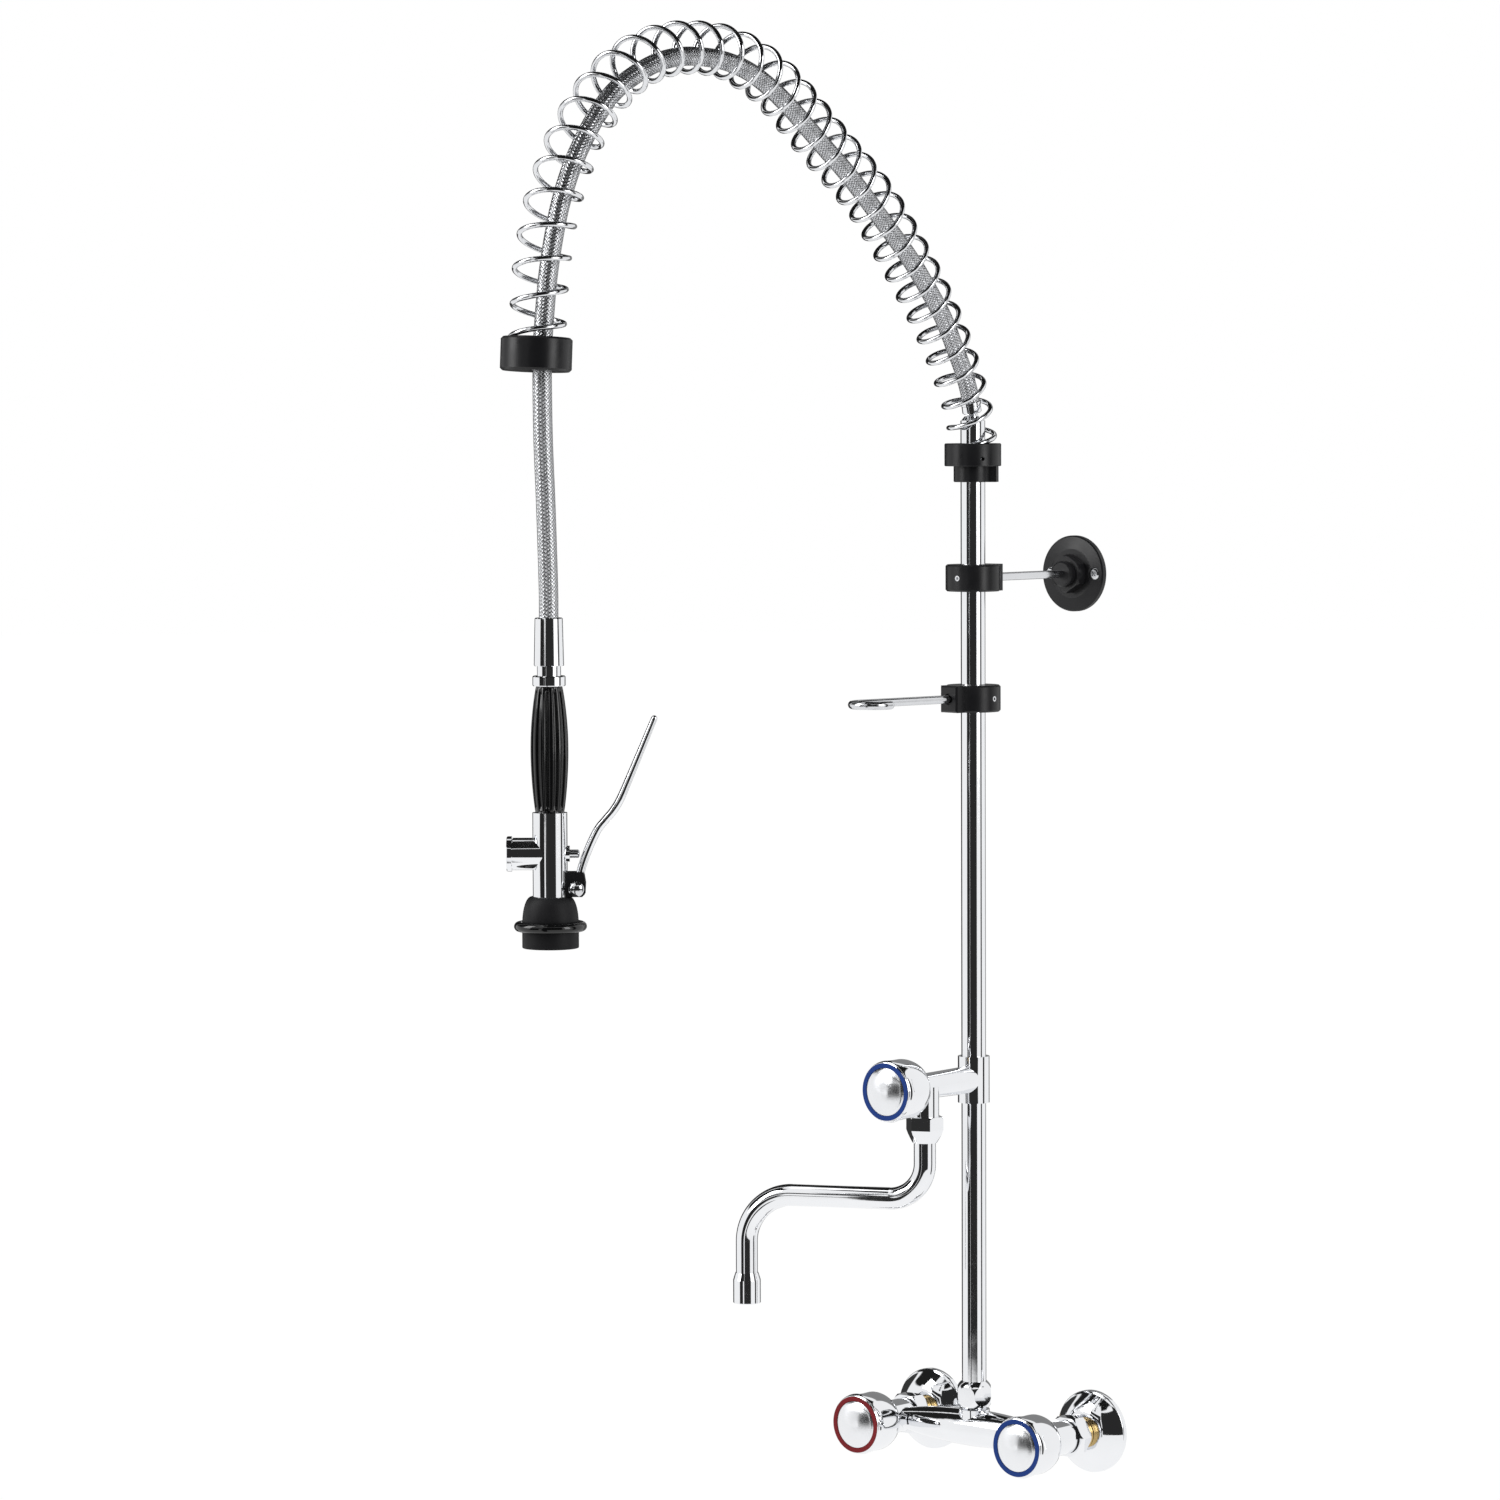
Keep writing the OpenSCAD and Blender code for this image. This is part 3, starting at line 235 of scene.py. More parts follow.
MATERIALS = {
    "chrome": polished("chrome plate", (0.86, 0.87, 0.89), 0.03, 0.07),
    "spring_chrome": polished("chrome spring wire", (0.76, 0.77, 0.79), 0.03, 0.08),
    "steel": polished("plated steel", (0.70, 0.71, 0.73), 0.1, 0.18),
    "braid": braided("wire braid"),
    "brass": brushed("machined brass", (0.60, 0.43, 0.18), (0.05, 1, 1), 0.2),
    "black_plastic": moulded("satin black plastic", (0.007, 0.007, 0.008), 0.32, 0.28, 900, 0.00004),
    "grip_black": moulded("glossy black plastic", (0.002, 0.002, 0.0023), 0.09, 0.5, 90, 0.000002),
    "black_rubber": moulded("matte black rubber", (0.008, 0.008, 0.009), 0.5, 0.16, 1400, 0.00006),
    "red_ring": moulded("dark red plastic", (0.17, 0.008, 0.012), 0.4, 0.2, 600, 0.00001),
    "blue_ring": moulded("dark blue plastic", (0.006, 0.035, 0.19), 0.4, 0.2, 600, 0.00001),
}

# The knobs' caps are spun: their gloss is drawn out round the handle's axis
SPUN = polished("spun chrome cap", (0.86, 0.87, 0.89), 0.16, 0.22)
spun_shader = SPUN.node_tree.nodes["Principled BSDF"]
spun_shader.inputs["Anisotropic"].default_value = 0.75
spun_way = SPUN.node_tree.nodes.new("ShaderNodeTangent")
spun_way.direction_type = "RADIAL"
spun_way.axis = "Y"
SPUN.node_tree.links.new(spun_way.outputs[0], spun_shader.inputs["Tangent"])

slot_of = {s["node"]: s["material_slot"] for s in frame["record"]["subparts"]}
for node_name, node_object in nodes.items():
    for material_slot in node_object.material_slots:
        material_slot.material = MATERIALS[slot_of[node_name]]


# ---- mesh helpers ----
def make(name, vertices, faces, place, slot, body, sharp=35, uvs=None):
    """A mesh piece from millimetres: placed, shaded smooth but for its sharp edges, and riding on a body."""
    mesh = bpy.data.meshes.new(name)
    mesh.from_pydata([(place @ Vector(v)) * MM for v in vertices], [], faces)
    mesh.validate()
    mesh.polygons.foreach_set("use_smooth", [True] * len(mesh.polygons))
    mesh.set_sharp_from_angle(angle=math.radians(sharp))
    if uvs:
        layer = mesh.uv_layers.new(name="along")
        for polygon in mesh.polygons:
            for loop in polygon.loop_indices:
                layer.data[loop].uv = uvs[(polygon.index, mesh.loops[loop].vertex_index)]
    mesh.materials.append(MATERIALS[slot])
    piece = bpy.data.objects.new(name, mesh)
    bpy.context.scene.collection.objects.link(piece)
    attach(piece, body)
    return piece


def soften(piece, width, angle=40):
    """A small bevel on the sharp edges, which catches the light."""
    bevel = piece.modifiers.new("edge", "BEVEL")
    bevel.width = width * MM
    bevel.segments = 2
    bevel.limit_method = "ANGLE"
    bevel.angle_limit = math.radians(angle)
    bevel.harden_normals = True


def ring_surface(rows, closed_ends=True):
    """Vertices and faces of stacked rings with the same number of points each."""
    count = len(rows[0])
    vertices = [p for row in rows for p in row]
    faces = []
    for i in range(len(rows) - 1):
        for k in range(count):
            a, b = i * count + k, i * count + (k + 1) % count
            faces.append((a, b, b + count, a + count))
    if closed_ends:
        faces.append(tuple(range(count))[::-1])
        faces.append(tuple((len(rows) - 1) * count + k for k in range(count)))
    return vertices, faces


def turned(name, profile, place, slot, body, segments=96, shape=None, sharp=35, bevel=0.0):
    """A turned piece from a profile of (radius, height); shape(radius, height, angle) may change the radius."""
    rows = []
    for radius, height in profile:
        row = []
        for k in range(segments):
            a = 2 * math.pi * k / segments
            r = shape(radius, height, a) if shape else radius
            row.append((r * math.cos(a), r * math.sin(a), height))
        rows.append(row)
    vertices, faces = ring_surface(rows)
    piece = make(name, vertices, faces, place, slot, body, sharp)
    if bevel:
        soften(piece, bevel)
    return piece


def outward(x, z, out=0.0):
    """A place this far out from the wall, with a turned piece's axis pointing away from the wall."""
    return Matrix.Translation((x, -out, z)) @ Matrix.Rotation(math.pi / 2, 4, "X")


def on_gun():
    """The gun's own axes: upright, with the lever on the x side."""
    return Matrix.Translation((0, -RISER_OUT - GUN_OUT, 0)) @ Matrix.Rotation(GUN_HEADING, 4, "Z")


def catmull(route, per):
    """A smooth line through a route of equal-length tuples, with per steps between points."""
    line = []
    last = len(route) - 1
    for i in range(last):
        p = [route[max(i - 1, 0)], route[i], route[i + 1], route[min(i + 2, last)]]
        for k in range(per):
            t = k / per
            line.append(tuple(
                0.5 * (2 * b + (c - a) * t + (2 * a - 5 * b + 4 * c - d) * t * t + (3 * b - a - 3 * c + d) * t ** 3)
                for a, b, c, d in zip(*p)
            ))
    line.append(tuple(route[-1]))
    return line


class Line:
    """A line in the arch plane, measured along its length."""

    def __init__(self, route, per):
        self.points = catmull(route, per)
        self.at = [0.0]
        for a, b in zip(self.points, self.points[1:]):
            self.at.append(self.at[-1] + math.dist(a, b))
        self.length = self.at[-1]

    def point(self, s):
        s = min(max(s, 0.0), self.length)
        low, high = 0, len(self.at) - 1
        while high - low > 1:
            middle = (low + high) // 2
            if self.at[middle] <= s:
                low = middle
            else:
                high = middle
        t = (s - self.at[low]) / max(self.at[high] - self.at[low], 1e-9)
        a, b = self.points[low], self.points[high]
        return (a[0] + (b[0] - a[0]) * t, a[1] + (b[1] - a[1]) * t)

    def heading(self, s):
        a, b = self.point(s - 1), self.point(s + 1)
        d = math.dist(a, b)
        return ((b[0] - a[0]) / d, (b[1] - a[1]) / d)


def in_space(p, side=0.0):
    """A point of the arch plane, given as (out from the riser, height), and this far beside the plane."""
    return Vector((side, -RISER_OUT - p[0], p[1]))


def swept(points, toward, radii, sides):
    """Rings of a tube through points, as vertices and faces."""
    rows = []
    last = len(points) - 1
    for i, p in enumerate(points):
        along = (points[min(i + 1, last)] - points[max(i - 1, 0)]).normalized()
        v = along.cross(toward[i]).normalized()
        u = v.cross(along)
        rows.append([
            tuple(p + (u * math.cos(2 * math.pi * k / sides) + v * math.sin(2 * math.pi * k / sides)) * radii[i])
            for k in range(sides)
        ])
    return ring_surface(rows)


def tube_uvs(points, sides):
    """Texture coordinates of a swept tube: round it 0..1 and along it in metres."""
    at = [0.0]
    for a, b in zip(points, points[1:]):
        at.append(at[-1] + (b - a).length * MM)
    uvs = {}
    face = 0
    for i in range(len(points) - 1):
        for k in range(sides):
            for row, j in ((i, k), (i, k + 1), (i + 1, k + 1), (i + 1, k)):
                uvs[(face, row * sides + j % sides)] = (j / sides, at[row])
            face += 1
    for end, row in ((0, 0), (1, len(points) - 1)):
        for k in range(sides):
            uvs[(face, row * sides + k)] = (k / sides, at[row])
        face += 1
    return uvs


STRAIGHT = Matrix.Identity(4)
SIDEWAYS = Vector((1, 0, 0))
ROUTE_STEPS = 8

# ---- hose ----
HOSE_R, HOSE_SIDES, HOSE_STEPS = 6.5, 32, 360
# Routes lie in the arch plane, as (out from the riser, height)
HOSE_ROUTE = [
    (1.4, 745.5), (2.8, 751.5), (4.2, 757.5), (8.4, 767.5), (13.2, 777), (21, 790), (34, 811), (51, 831),
    (69, 850), (88, 867), (107, 883), (126, 899), (145, 914), (165, 928), (186, 943), (206, 957),
    (226, 969), (248, 979), (272, 985), (297, 987), (321, 986), (344, 981), (366, 972),
    (387, 960), (404, 944), (419, 925), (432, 904), (442, 881), (449, 857), (454, 834),
    (457, 812), (459, 794), (460, 776), (459.5, 730), (457.5, 690), (456, 655), (455, 625), (455, 612), (455, 600),
]
hose_line = Line(HOSE_ROUTE, ROUTE_STEPS)
hose_points = [in_space(hose_line.point(hose_line.length * i / HOSE_STEPS)) for i in range(HOSE_STEPS + 1)]
vertices, faces = swept(hose_points, [SIDEWAYS] * len(hose_points), [HOSE_R] * len(hose_points), HOSE_SIDES)
hose = make("braided_hose", vertices, faces, STRAIGHT, "braid", "arch", 60, tube_uvs(hose_points, HOSE_SIDES))
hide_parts("hose")

# ---- spring ----
SPRING_ROUTE = [
    (0, 712), (0, 718), (0.8, 726), (2.8, 736), (6.5, 747), (12, 759), (18.5, 772), (27, 787), (41, 808),
    (57, 829), (73, 848), (90, 867), (107, 885), (125, 901), (145, 916), (165, 930), (186, 946), (206, 961),
    (226, 974), (248, 984), (272, 991), (297, 993), (322, 992), (347, 987), (370, 978),
    (391, 965), (409, 948), (425, 929), (438, 907), (449, 884), (456, 860), (461, 836),
    (463, 814), (465, 795), (465.5, 786), (466, 777),
]
# Each end of the spring as (rise, way round), in wire diameters: a straight tail and its bend into the curls
SPRING_TAIL = [(0, 0), (1, 0), (1.47, 0.2), (1.75, 0.65), (1.9, 1.4), (2, 2.3)]
CURLS, WIRE_R, START_ANGLE, SPREAD = 35, 1.8, 18, 0.1
RINGS_PER_CURL, WIRE_SIDES, TAIL_STEPS = 48, 18, 4
BASE_R, ARCH_R = 36 / 2 - WIRE_R, 39 / 2 - WIRE_R
WIDENS_FROM, WIDENS_OVER = 25, 110
CROWN_DIP, CROWN_REACH = 0.98, 55
spring_line = Line(SPRING_ROUTE, ROUTE_STEPS)
crown = max(range(int(spring_line.length)), key=lambda s: spring_line.point(s)[1])


def spring_rings(length):
    """Rings of the wire, as (distance along the arch, angle round it), that lie wider apart towards the far end."""
    wire = 2 * WIRE_R
    per_wire = math.degrees(wire / BASE_R)
    tail_rise, tail_turn = SPRING_TAIL[-1]
    rise, steps = tail_rise * wire, CURLS * RINGS_PER_CURL
    run = length - 2 * rise
    first = [(along * wire, (turn - tail_turn) * per_wire) for along, turn in SPRING_TAIL]
    curls = []
    for i in range(1, steps):
        t = i / steps
        curls.append((rise + run * (t - SPREAD * t * (1 - t)), 360 * i / RINGS_PER_CURL))
    end = [(length - along * wire, 360 * CURLS + (tail_turn - turn) * per_wire) for along, turn in SPRING_TAIL[::-1]]
    return catmull(first, TAIL_STEPS) + curls + catmull(end, TAIL_STEPS)


def coil_radius(s):
    """Curls widen past the cup, and dip by under a millimetre at the crown, to stay inside the CAD solid's height."""
    full = BASE_R + (ARCH_R - BASE_R) * min(1, max(0, (s - WIDENS_FROM) / WIDENS_OVER))
    return full - CROWN_DIP * math.exp(-((s - crown) / CROWN_REACH) ** 2)


spring_points, spring_inward = [], []
for s, angle in spring_rings(spring_line.length):
    centre, h, r, a = spring_line.point(s), spring_line.heading(s), coil_radius(s), angle + START_ANGLE
    at = (centre[0] + r * cos_deg(a) * h[1], centre[1] - r * cos_deg(a) * h[0])
    spring_points.append(in_space(at, r * sin_deg(a)))
    spring_inward.append(in_space(centre) - spring_points[-1])
vertices, faces = swept(spring_points, spring_inward, [WIRE_R] * len(spring_points), WIRE_SIDES)
spring = make("arch_spring_wire", vertices, faces, STRAIGHT, "spring_chrome", "arch", 60)
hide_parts("arch_spring")

# ---- knobs ----
KNOB_LEN, KNOB_R, KNOB_BACK_R, KNOB_WIDEST = 32.0, 22.75, 15.0, -12.0
BORE_R, BORE_FLOOR = 13.3, -14
RING_OUT, RING_IN, RING_FLOOR, CAP_FLOOR = 20.8, 17.4, -2, -3
SCOOP_R, SCOOP_DEPTH, SCOOP_ANGLE, SCOOP_SOFT = 16.0, 2.4, 15, 0.35
SCOOP_FADE_FROM, SCOOP_FADE_OVER, SCOOP_LEAST_R, SCOOP_NEAR = 4.2, 3.6, 14.4, -3
KNOB_OUT, SPOUT_KNOB_OUT = 92, 102


def knob_shape(radius, height, angle):
    """Four finger scoops, which run out before the face and have soft edges."""
    if radius < SCOOP_LEAST_R or height > RING_FLOOR:
        return radius
    turn = (math.degrees(angle) - SCOOP_ANGLE + 45) % 90 - 45
    axis = KNOB_R + SCOOP_R - SCOOP_DEPTH
    across = SCOOP_R ** 2 - (axis * sin_deg(turn)) ** 2
    if across <= 0:
        return radius
    depth = radius - (axis * cos_deg(turn) - math.sqrt(across))
    fade = min(1.0, max(0.0, (-height - SCOOP_FADE_FROM) / SCOOP_FADE_OVER))
    fade = fade * fade * (3 - 2 * fade)
    bite = 0.5 * (depth + math.sqrt(depth * depth + SCOOP_SOFT)) if depth > SCOOP_NEAR else 0.0
    return radius - bite * fade


def knob_profile():
    """Bore, back edge, swelling body, narrow face, and the groove and the seat for the index ring and the cap."""
    face_r = RING_OUT + 0.6
    back, front = KNOB_LEN + KNOB_WIDEST - 0.8, -KNOB_WIDEST - 1
    points = [(0, BORE_FLOOR), (BORE_R, BORE_FLOOR), (BORE_R, -KNOB_LEN), (KNOB_BACK_R - 0.8, -KNOB_LEN)]
    for i in range(33):
        a = 90 * i / 32
        points.append((KNOB_BACK_R + (KNOB_R - KNOB_BACK_R) * sin_deg(a), KNOB_WIDEST - back * cos_deg(a)))
    for i in range(1, 19):
        a = 90 * i / 18
        points.append((face_r + (KNOB_R - face_r) * cos_deg(a), KNOB_WIDEST + front * sin_deg(a)))
    points += [(face_r - 0.07, -0.45), (face_r - 0.3, -0.12), (RING_OUT, -0.02)]
    return points + [(RING_OUT, RING_FLOOR), (RING_IN, RING_FLOOR), (RING_IN, CAP_FLOOR), (0, CAP_FLOOR)]


def cap_profile():
    rise, rim = 4.0, RING_IN
    ball = (rim * rim + rise * rise) / (2 * rise)
    points = [(0, CAP_FLOOR), (rim, CAP_FLOOR), (rim, 0.1)]
    for i in range(1, 17):
        r = rim * (1 - i / 16)
        points.append((r, rise + 0.4 - ball + math.sqrt(ball * ball - r * r)))
    return points


HANDLES = (
    ("hot", -INLET_X, 0, KNOB_OUT), ("cold", INLET_X, 0, KNOB_OUT), ("spout", 0, SPOUT_Z, RISER_OUT + SPOUT_KNOB_OUT),
)
for side, x, z, out in HANDLES:
    body = side + "_handle"
    knob = turned(side + "_knob_shell", knob_profile(), outward(x, z, out), "chrome", body, 144, knob_shape, 28)
    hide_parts(side + "_knob")
    cap = turned(side + "_domed_cap", cap_profile(), outward(x, z, out), "chrome", body, 96, None, 40, 0.25)
    cap.data.materials[0] = SPUN
    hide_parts(side + "_cap")


# ---- rosettes and threads ----
THREAD_SEGMENTS, RINGS_PER_LEAD, THREAD_RUN_OUT = 48, 10, 0.6


def rosette_profile():
    """A flat rim, a rounded front up to the hole for the union, and the hollow back."""
    front, rim = 14.0, 29.99
    points = [(rim - 1.6, 0), (rim, 0), (rim, 3.6), (rim - 0.2, 4.1), (rim - 0.6, 4.4)]
    for i in range(25):
        t = i / 24
        points.append((rim - 1.4 - (rim - 14.2) * t, 4.8 + (front - 4.8) * sin_deg(90 * t)))
    points += [(10.5, front), (10.5, front - 1.5), (13, front - 1.5)]
    for i in range(24, -1, -1):
        t = i / 24
        points.append((rim - 2.6 - (rim - 16.2) * t, 3.2 + (front - 4.9) * sin_deg(90 * t)))
    return points + [(rim - 1.6, 0)]


def thread_rows(low, high, core, depth, lead):
    """Rings of a screw thread between two heights."""
    rows = []
    steps = int((high - low) / lead * RINGS_PER_LEAD)
    for i in range(steps + 1):
        height = low + (high - low) * i / steps
        ease = max(0.0, min(1.0, (height - low) / THREAD_RUN_OUT, (high - height) / THREAD_RUN_OUT))
        row = []
        for k in range(THREAD_SEGMENTS):
            a = 2 * math.pi * k / THREAD_SEGMENTS
            phase = (height / lead - a / (2 * math.pi)) % 1
            r = core + depth * ease * (1 - abs(2 * phase - 1))
            row.append((r * math.cos(a), r * math.sin(a), height))
        rows.append(row)
    return rows


for side, x in (("hot", -INLET_X), ("cold", INLET_X)):
    turned(side + "_rosette", rosette_profile(), outward(x, 0), "chrome", "base", 128, None, 40, 0.2)
    vertices, faces = ring_surface(thread_rows(low=14.1, high=22.0, core=10.42, depth=0.55, lead=1.8))
    make(side + "_union_thread", vertices, faces, outward(x, 0), "brass", "base", 60)
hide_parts("rosettes")

# ---- gun ----
GRIP_LOW, GRIP_HIGH, GRIP_R, GRIP_TOP_R, GRIP_FOOT_R, GRIP_CORE_R = 478.3, 563.0, 12.7, 8.7, 9.6, 6
RIB_PITCH, RIB_START, RIB_HALF, RIB_SOFT, RIB_CROWN = 30, 9, 9.2, 0.9, 0.25
FLUTE_DEPTH, FLUTE_END, FLUTE_RUN_OUT, FLUTED_FROM_R = 1.5, 1.5, 3, 8


def grip_radius(t):
    """The grip's swelling outline, from its foot at -1 to its top at 1."""
    end = GRIP_TOP_R if t > 0 else GRIP_FOOT_R
    return end + (GRIP_R - end) * max(0.0, cos_deg(90 * t)) ** 0.8


def flutes(radius, height, angle):
    """Twelve rounded ribs, with the flutes running out at both ends."""
    if radius < FLUTED_FROM_R:
        return radius
    place = (math.degrees(angle) - RIB_START) % RIB_PITCH
    away = min(place, RIB_PITCH - place)
    rib = 1 / (1 + math.exp((away - RIB_HALF) / RIB_SOFT))
    edge = min(height - GRIP_LOW, GRIP_HIGH - height)
    run_out = min(1.0, max(0.0, (edge - FLUTE_END) / FLUTE_RUN_OUT))
    return radius - FLUTE_DEPTH * (1 - rib) * run_out - RIB_CROWN * (away / 10) ** 2 * rib


grip_rows = [(GRIP_CORE_R, GRIP_LOW)]
for i in range(-40, 41):
    t = i / 40
    grip_rows.append((grip_radius(t), (GRIP_LOW + GRIP_HIGH) / 2 + (GRIP_HIGH - GRIP_LOW) / 2 * t))
grip_rows.append((GRIP_CORE_R, GRIP_HIGH))
grip = turned("fluted_grip", grip_rows, on_gun(), "grip_black", "gun", 240, flutes, 50)
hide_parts("grip")

BUMPER_Z, BUMPER_WIRE = 402.0, 3.25
BUMPER_R = 24.4 - BUMPER_WIRE
SKIRT_R, SKIRT_Z, SHOULDER_Z, DOME_RISE, DOME_TOP_R, DOME_STEPS = 19.0, 390, 404, 18, 12.8, 24


def beside_bumper(radius, height):
    """A point of the dome, cut back where the bumper ring sits in it."""
    inside = BUMPER_WIRE ** 2 - (height - BUMPER_Z) ** 2
    return (min(radius, BUMPER_R - math.sqrt(inside)) if inside > 0 else radius, height)


dome_profile = [(0, 395), (16, 395), (16, 387.5), (18.4, 387.5), (18.8, 387.7), (SKIRT_R, 388.1)]
for i in range(DOME_STEPS + 1):
    dome_profile.append(beside_bumper(SKIRT_R, SKIRT_Z + (SHOULDER_Z - SKIRT_Z) * i / DOME_STEPS))
for i in range(1, DOME_STEPS + 1):
    a = 90 * i / DOME_STEPS
    dome_profile.append(beside_bumper(DOME_TOP_R + 6.1 * cos_deg(a), SHOULDER_Z + DOME_RISE * sin_deg(a)))
dome_profile.append((0, SHOULDER_Z + DOME_RISE))
dome = turned("rubber_dome", dome_profile, on_gun(), "black_rubber", "gun", 96, None, 50)
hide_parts("nozzle_dome")

LEVER_ROUTE = [
    (18.8, 430.6), (21.1, 441.3), (25.7, 454), (31.6, 466.2), (36.9, 473), (42.3, 479.4),
    (47.1, 487.3), (53.1, 501), (61.8, 521.5), (70, 541),
]
LEVER_R, LEVER_TAPER, LEVER_TIP_R, LEVER_SIDES, TAPERS_AFTER = 2.75, 0.65, 2.1, 20, 6
PIVOT_X, PIVOT_Z, EYE_SEGMENTS = 17.6, 427.3, 48
lever_line = catmull(LEVER_ROUTE, ROUTE_STEPS)
taper_from = TAPERS_AFTER * ROUTE_STEPS
lever_points, lever_radii = [], []
for i, p in enumerate(lever_line):
    lever_points.append(Vector((p[0], 0, p[1])))
    t = max(0.0, (i - taper_from) / (len(lever_line) - 1 - taper_from))
    lever_radii.append(LEVER_R - LEVER_TAPER * t)
tip_way = (lever_points[-1] - lever_points[-2]).normalized()
tip = lever_points[-1].copy()
for a in (20, 40, 60, 75, 86):
    lever_points.append(tip + tip_way * (LEVER_TIP_R * sin_deg(a)))
    lever_radii.append(LEVER_TIP_R * cos_deg(a))
vertices, faces = swept(lever_points, [Vector((0, 1, 0))] * len(lever_points), lever_radii, LEVER_SIDES)
rod_count = len(vertices)
eye_rows = []
for r, y in ((2.05, 2.9), (4.0, 2.9), (4.3, 2.6), (4.3, -2.6), (4.0, -2.9), (2.05, -2.9), (2.05, 2.9)):
    turns = [360 / EYE_SEGMENTS * k for k in range(EYE_SEGMENTS)]
    eye_rows.append([(PIVOT_X + r * cos_deg(a), y, PIVOT_Z + r * sin_deg(a)) for a in turns])
eye_vertices, eye_faces = ring_surface(eye_rows, False)
lever = make(
    "squeeze_lever", vertices + eye_vertices, faces + [tuple(i + rod_count for i in f) for f in eye_faces],
    on_gun(), "chrome", "lever", 40,
)
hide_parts("gun_lever")

# ---- studio ----
scene = bpy.context.scene
FLOOR_Z, FLOOR_HALF = -0.9, 60


def blank_tree(owner):
    owner.use_nodes = True
    owner.node_tree.nodes.clear()
    return owner.node_tree


def math_node(tree, operation, *values):
    """A math node fed by numbers and other nodes' outputs."""
    node = tree.nodes.new("ShaderNodeMath")
    node.operation = operation
    for socket, value in zip(node.inputs, values):
        if isinstance(value, (int, float)):
            socket.default_value = value
        else:
            tree.links.new(value, socket)
    return node.outputs[0]


def mixed(tree, share, a, b):
    """The output of a material that mixes two shaders."""
    mix = tree.nodes.new("ShaderNodeMixShader")
    out = tree.nodes.new("ShaderNodeOutputMaterial")
    tree.links.new(share, mix.inputs[0])
    tree.links.new(a.outputs[0], mix.inputs[1])
    tree.links.new(b.outputs[0], mix.inputs[2])
    tree.links.new(mix.outputs[0], out.inputs["Surface"])


def floor_material(name, color, glow, share):
    """Matte, and mostly a steady white where the camera or a reflection sees it, so it keeps some of the shadow."""
    material = bpy.data.materials.new(name)
    tree = blank_tree(material)
    matte = tree.nodes.new("ShaderNodeBsdfDiffuse")
    matte.inputs["Color"].default_value = (*color, 1)
    light = tree.nodes.new("ShaderNodeEmission")
    light.inputs["Strength"].default_value = glow
    path = tree.nodes.new("ShaderNodeLightPath")
    seen = math_node(tree, "MAXIMUM", path.outputs["Is Camera Ray"], path.outputs["Is Glossy Ray"])
    mixed(tree, math_node(tree, "MULTIPLY", seen, share), matte, light)
    return material


corners = [(x * FLOOR_HALF, y * FLOOR_HALF, FLOOR_Z) for x, y in ((-1, -1), (1, -1), (1, 1), (-1, 1))]
floor_mesh = bpy.data.meshes.new("floor")
floor_mesh.from_pydata(corners, [], [(0, 1, 2, 3)])
floor_mesh.materials.append(floor_material("floor white", (0.85, 0.85, 0.85), glow=1.08, share=0.88))
floor = bpy.data.objects.new("floor", floor_mesh)
scene.collection.objects.link(floor)

# Dark cards with faded edges round the object, seen only in reflections: they draw the lines in the chrome
CARD_CENTRE = Vector((0, -0.2, 0))
CARD_LOW = FLOOR_Z + 0.01
CARD_STEP = 4  # degrees


def card_material(name, level, fade_across, fade_up):
    """An even grey that fades out within a share of the card's width and height from its edges."""
    material = bpy.data.materials.new(name)
    tree = blank_tree(material)
    light = tree.nodes.new("ShaderNodeEmission")
    light.inputs["Color"].default_value = (level, level, level, 1)
    clear = tree.nodes.new("ShaderNodeBsdfTransparent")
    place = tree.nodes.new("ShaderNodeTexCoord")
    split = tree.nodes.new("ShaderNodeSeparateXYZ")
    tree.links.new(place.outputs["UV"], split.inputs[0])
    inside = []
    for axis, fade in (("X", fade_across), ("Y", fade_up)):
        ease = tree.nodes.new("ShaderNodeMapRange")
        ease.interpolation_type = "SMOOTHSTEP"
        ease.inputs["From Max"].default_value = fade
        tree.links.new(math_node(tree, "PINGPONG", split.outputs[axis], 0.5), ease.inputs["Value"])
        inside.append(ease.outputs["Result"])
    mixed(tree, math_node(tree, "MULTIPLY", *inside), clear, light)
    return material


def hang(name, low_edge, high_edge, level, fade_across, fade_up):
    """A card between two edges with the same number of points."""
    count = len(low_edge)
    faces = [(i, i + 1, i + 1 + count, i + count) for i in range(count - 1)]
    mesh = bpy.data.meshes.new(name)
    mesh.from_pydata([tuple(p) for p in low_edge + high_edge], [], faces)
    layer = mesh.uv_layers.new(name="card")
    for loop in mesh.loops:
        i = loop.vertex_index
        layer.data[loop.index].uv = (i % count / (count - 1), i // count)
    mesh.materials.append(card_material(name, level, fade_across, fade_up))
    piece = bpy.data.objects.new(name, mesh)
    scene.collection.objects.link(piece)
    piece.visible_camera = False
    piece.visible_diffuse = False
    piece.visible_transmission = False
    piece.visible_shadow = False


def way(bearing):
    """The level direction at a bearing, in degrees to the right of the way towards the camera."""
    return -level_ahead * cos_deg(bearing) + level_right * sin_deg(bearing)


def spaced(start, end, steps):
    return [start + (end - start) * i / steps for i in range(steps + 1)]


def card(name, start, end, low, high, level, radius=2.4, fade_across=0.06, fade_up=0.06):
    """A card curved round the object from one bearing to another."""
    steps = max(2, int((end - start) / CARD_STEP))
    edge = [CARD_CENTRE + way(bearing) * radius for bearing in spaced(start, end, steps)]
    hang(name, [p + Z * low for p in edge], [p + Z * high for p in edge], level, fade_across, fade_up)


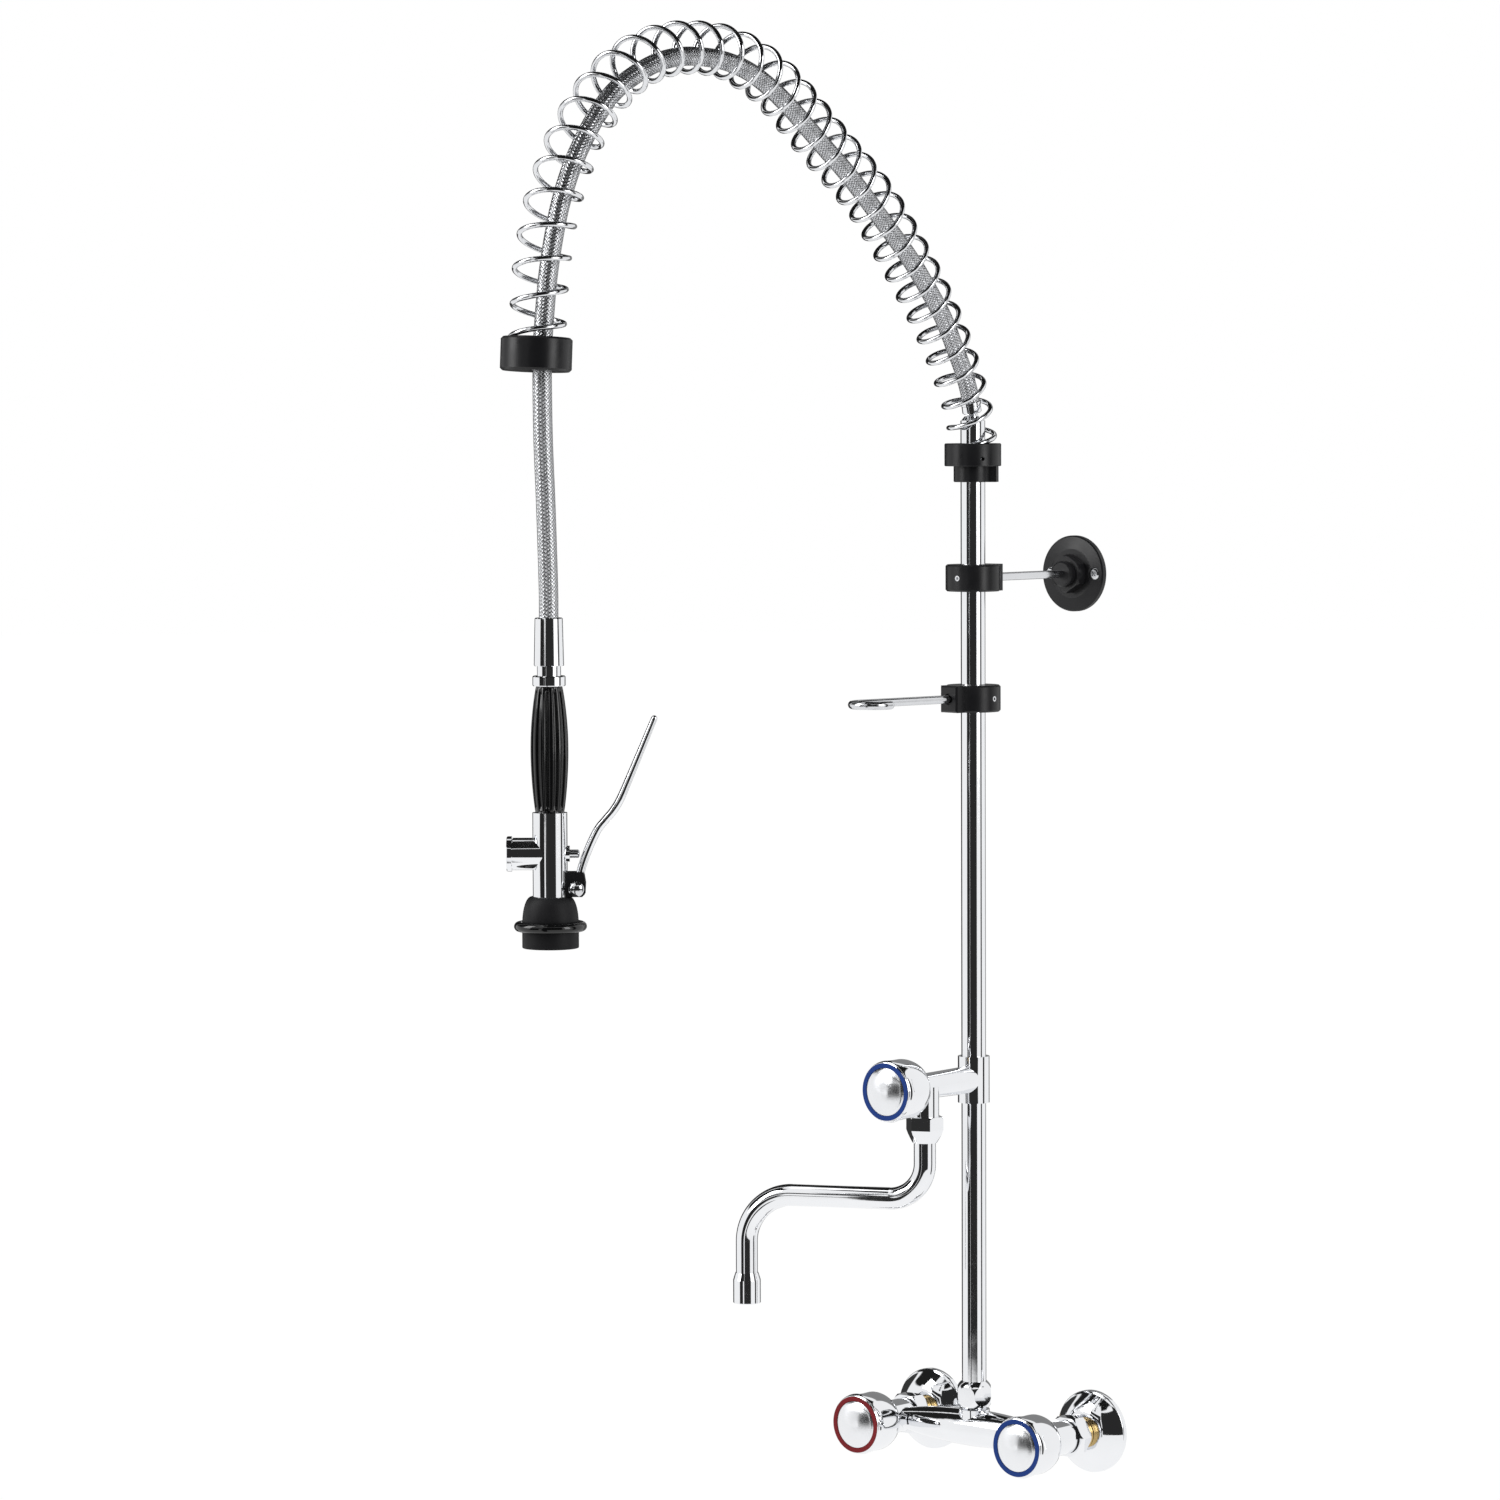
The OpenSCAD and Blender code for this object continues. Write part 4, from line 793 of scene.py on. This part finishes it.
def awning(name, out, z_low, z_high, near, far, start, end):
    """A slanting card between the object and the camera, over a place this far out from the wall."""
    row = [Vector((0, -out, 0)) + level_right * x for x in spaced(start, end, 4)]
    low_edge, high_edge = [p + way(0) * far + Z * z_low for p in row], [p + way(0) * near + Z * z_high for p in row]
    hang(name, low_edge, high_edge, 0.01, fade_across=0.06, fade_up=0.08)


def flat(name, near, far, start, end, height, level):
    """A level card overhead, measured towards the camera and to its right."""
    low_edge, high_edge = (
        [way(0) * out + level_right * x + Z * height for x in spaced(start, end, 4)] for out in (near, far)
    )
    hang(name, low_edge, high_edge, level, fade_across=0.06, fade_up=0.06)


def upright(name, centre, bearing, half_width, below, above, level, fade_across, fade_up):
    """A small upright card that faces a bearing."""
    edge = [centre + way(bearing + 90) * x for x in (-half_width, 0.0, half_width)]
    hang(name, [p - Z * below for p in edge], [p + Z * above for p in edge], level, fade_across, fade_up)


# In front: the dark bands in the upright tubes, with a slit of light between the first two
card("card_front_left", -66, -35.5, -0.405, 0.82, 0.02, fade_across=0.05, fade_up=0.03)
card("card_front_right", -27.5, 34, -0.405, 2.2, 0.025, fade_across=0.03, fade_up=0.014)
card("card_front_left_up", -66, -27.5, 0.98, 1.5, 0.02, fade_across=0.05, fade_up=0.05)
card("card_front_far", -36, -26, -0.3, 0.62, 0.03, 10, 0.1, 0.1)
# At the sides and behind: the outlines of the tubes
card("card_left_high", -84, -56, 0.9, 2.4, 0.05, fade_across=0.3, fade_up=0.25)
card("card_right", 70, 86, CARD_LOW, 2.4, 0.03, fade_across=0.15)
card("card_back_left", -180, -134, CARD_LOW, 2.4, 0.04)
card("card_back_right", 136, 180, CARD_LOW, 2.4, 0.25)
# High up: the dark in the spring's curls
card("card_over_left", -132, -94, 0.8, 4.4, 0.015, 2.0, 0.1, 0.06)
card("card_over_side", -102, -62, 1.2, 4.4, 0.015, 2.0, 0.06, 0.06)
card("card_over_back", -184, -136, 0.85, 4.4, 0.015, 2.0, 0.06, 0.06)
flat("card_overhead", -0.75, 2.2, -0.5, 1.6, 2.6, 0.015)
flat("card_ceiling", -0.8, 1.2, -0.4, 0.8, 1.4, 0.01)
# Closer: a dark card in the slit of light, for the lower riser, and two slanting ones over the arch and the cup
upright("card_riser_slit", way(-31) * 0.85, -31, 0.065, 0.2, 0.45, 0.03, 0.1, 0.05)
awning("card_over_arch", 0.30, 1.08, 1.42, -0.16, 0.5, -0.34, 0.30)
awning("card_over_cup", 0.50, 0.86, 1.3, -0.12, 0.5, -0.09, 0.14)

# White all round, and dimmer as a light than where it is seen
world = bpy.data.worlds.new("studio")
scene.world = world
tree = blank_tree(world)
world_out = tree.nodes.new("ShaderNodeOutputWorld")
background = tree.nodes.new("ShaderNodeBackground")
path = tree.nodes.new("ShaderNodeLightPath")
seen = math_node(tree, "MAXIMUM", path.outputs["Is Camera Ray"], path.outputs["Is Glossy Ray"])
through = math_node(tree, "MAXIMUM", seen, path.outputs["Is Transmission Ray"])
strength = tree.nodes.new("ShaderNodeMapRange")
strength.inputs["To Min"].default_value = 0.55
strength.inputs["To Max"].default_value = 1.0
tree.links.new(through, strength.inputs["Value"])
background.inputs["Color"].default_value = (1, 1, 1, 1)
tree.links.new(strength.outputs[0], background.inputs["Strength"])
tree.links.new(background.outputs[0], world_out.inputs["Surface"])


def lamp(name, bearing, distance, height, size, power):
    """An area light that looks at the middle of the object."""
    place = CARD_CENTRE + way(bearing) * distance + Z * height
    light = bpy.data.lights.new(name, "AREA")
    light.shape = "RECTANGLE"
    light.size, light.size_y = size
    light.energy = power
    piece = bpy.data.objects.new(name, light)
    scene.collection.objects.link(piece)
    piece.location = place
    piece.rotation_mode = "QUATERNION"
    piece.rotation_quaternion = (CARD_CENTRE + Z * 0.5 - place).to_track_quat("-Z", "Y")


lamp("key", bearing=-75, distance=1.9, height=1.5, size=(0.9, 1.6), power=26)
lamp("fill", bearing=50, distance=2.1, height=1.1, size=(0.7, 1.6), power=14)
lamp("top", bearing=0, distance=0.3, height=2.6, size=(1.6, 1.6), power=12)
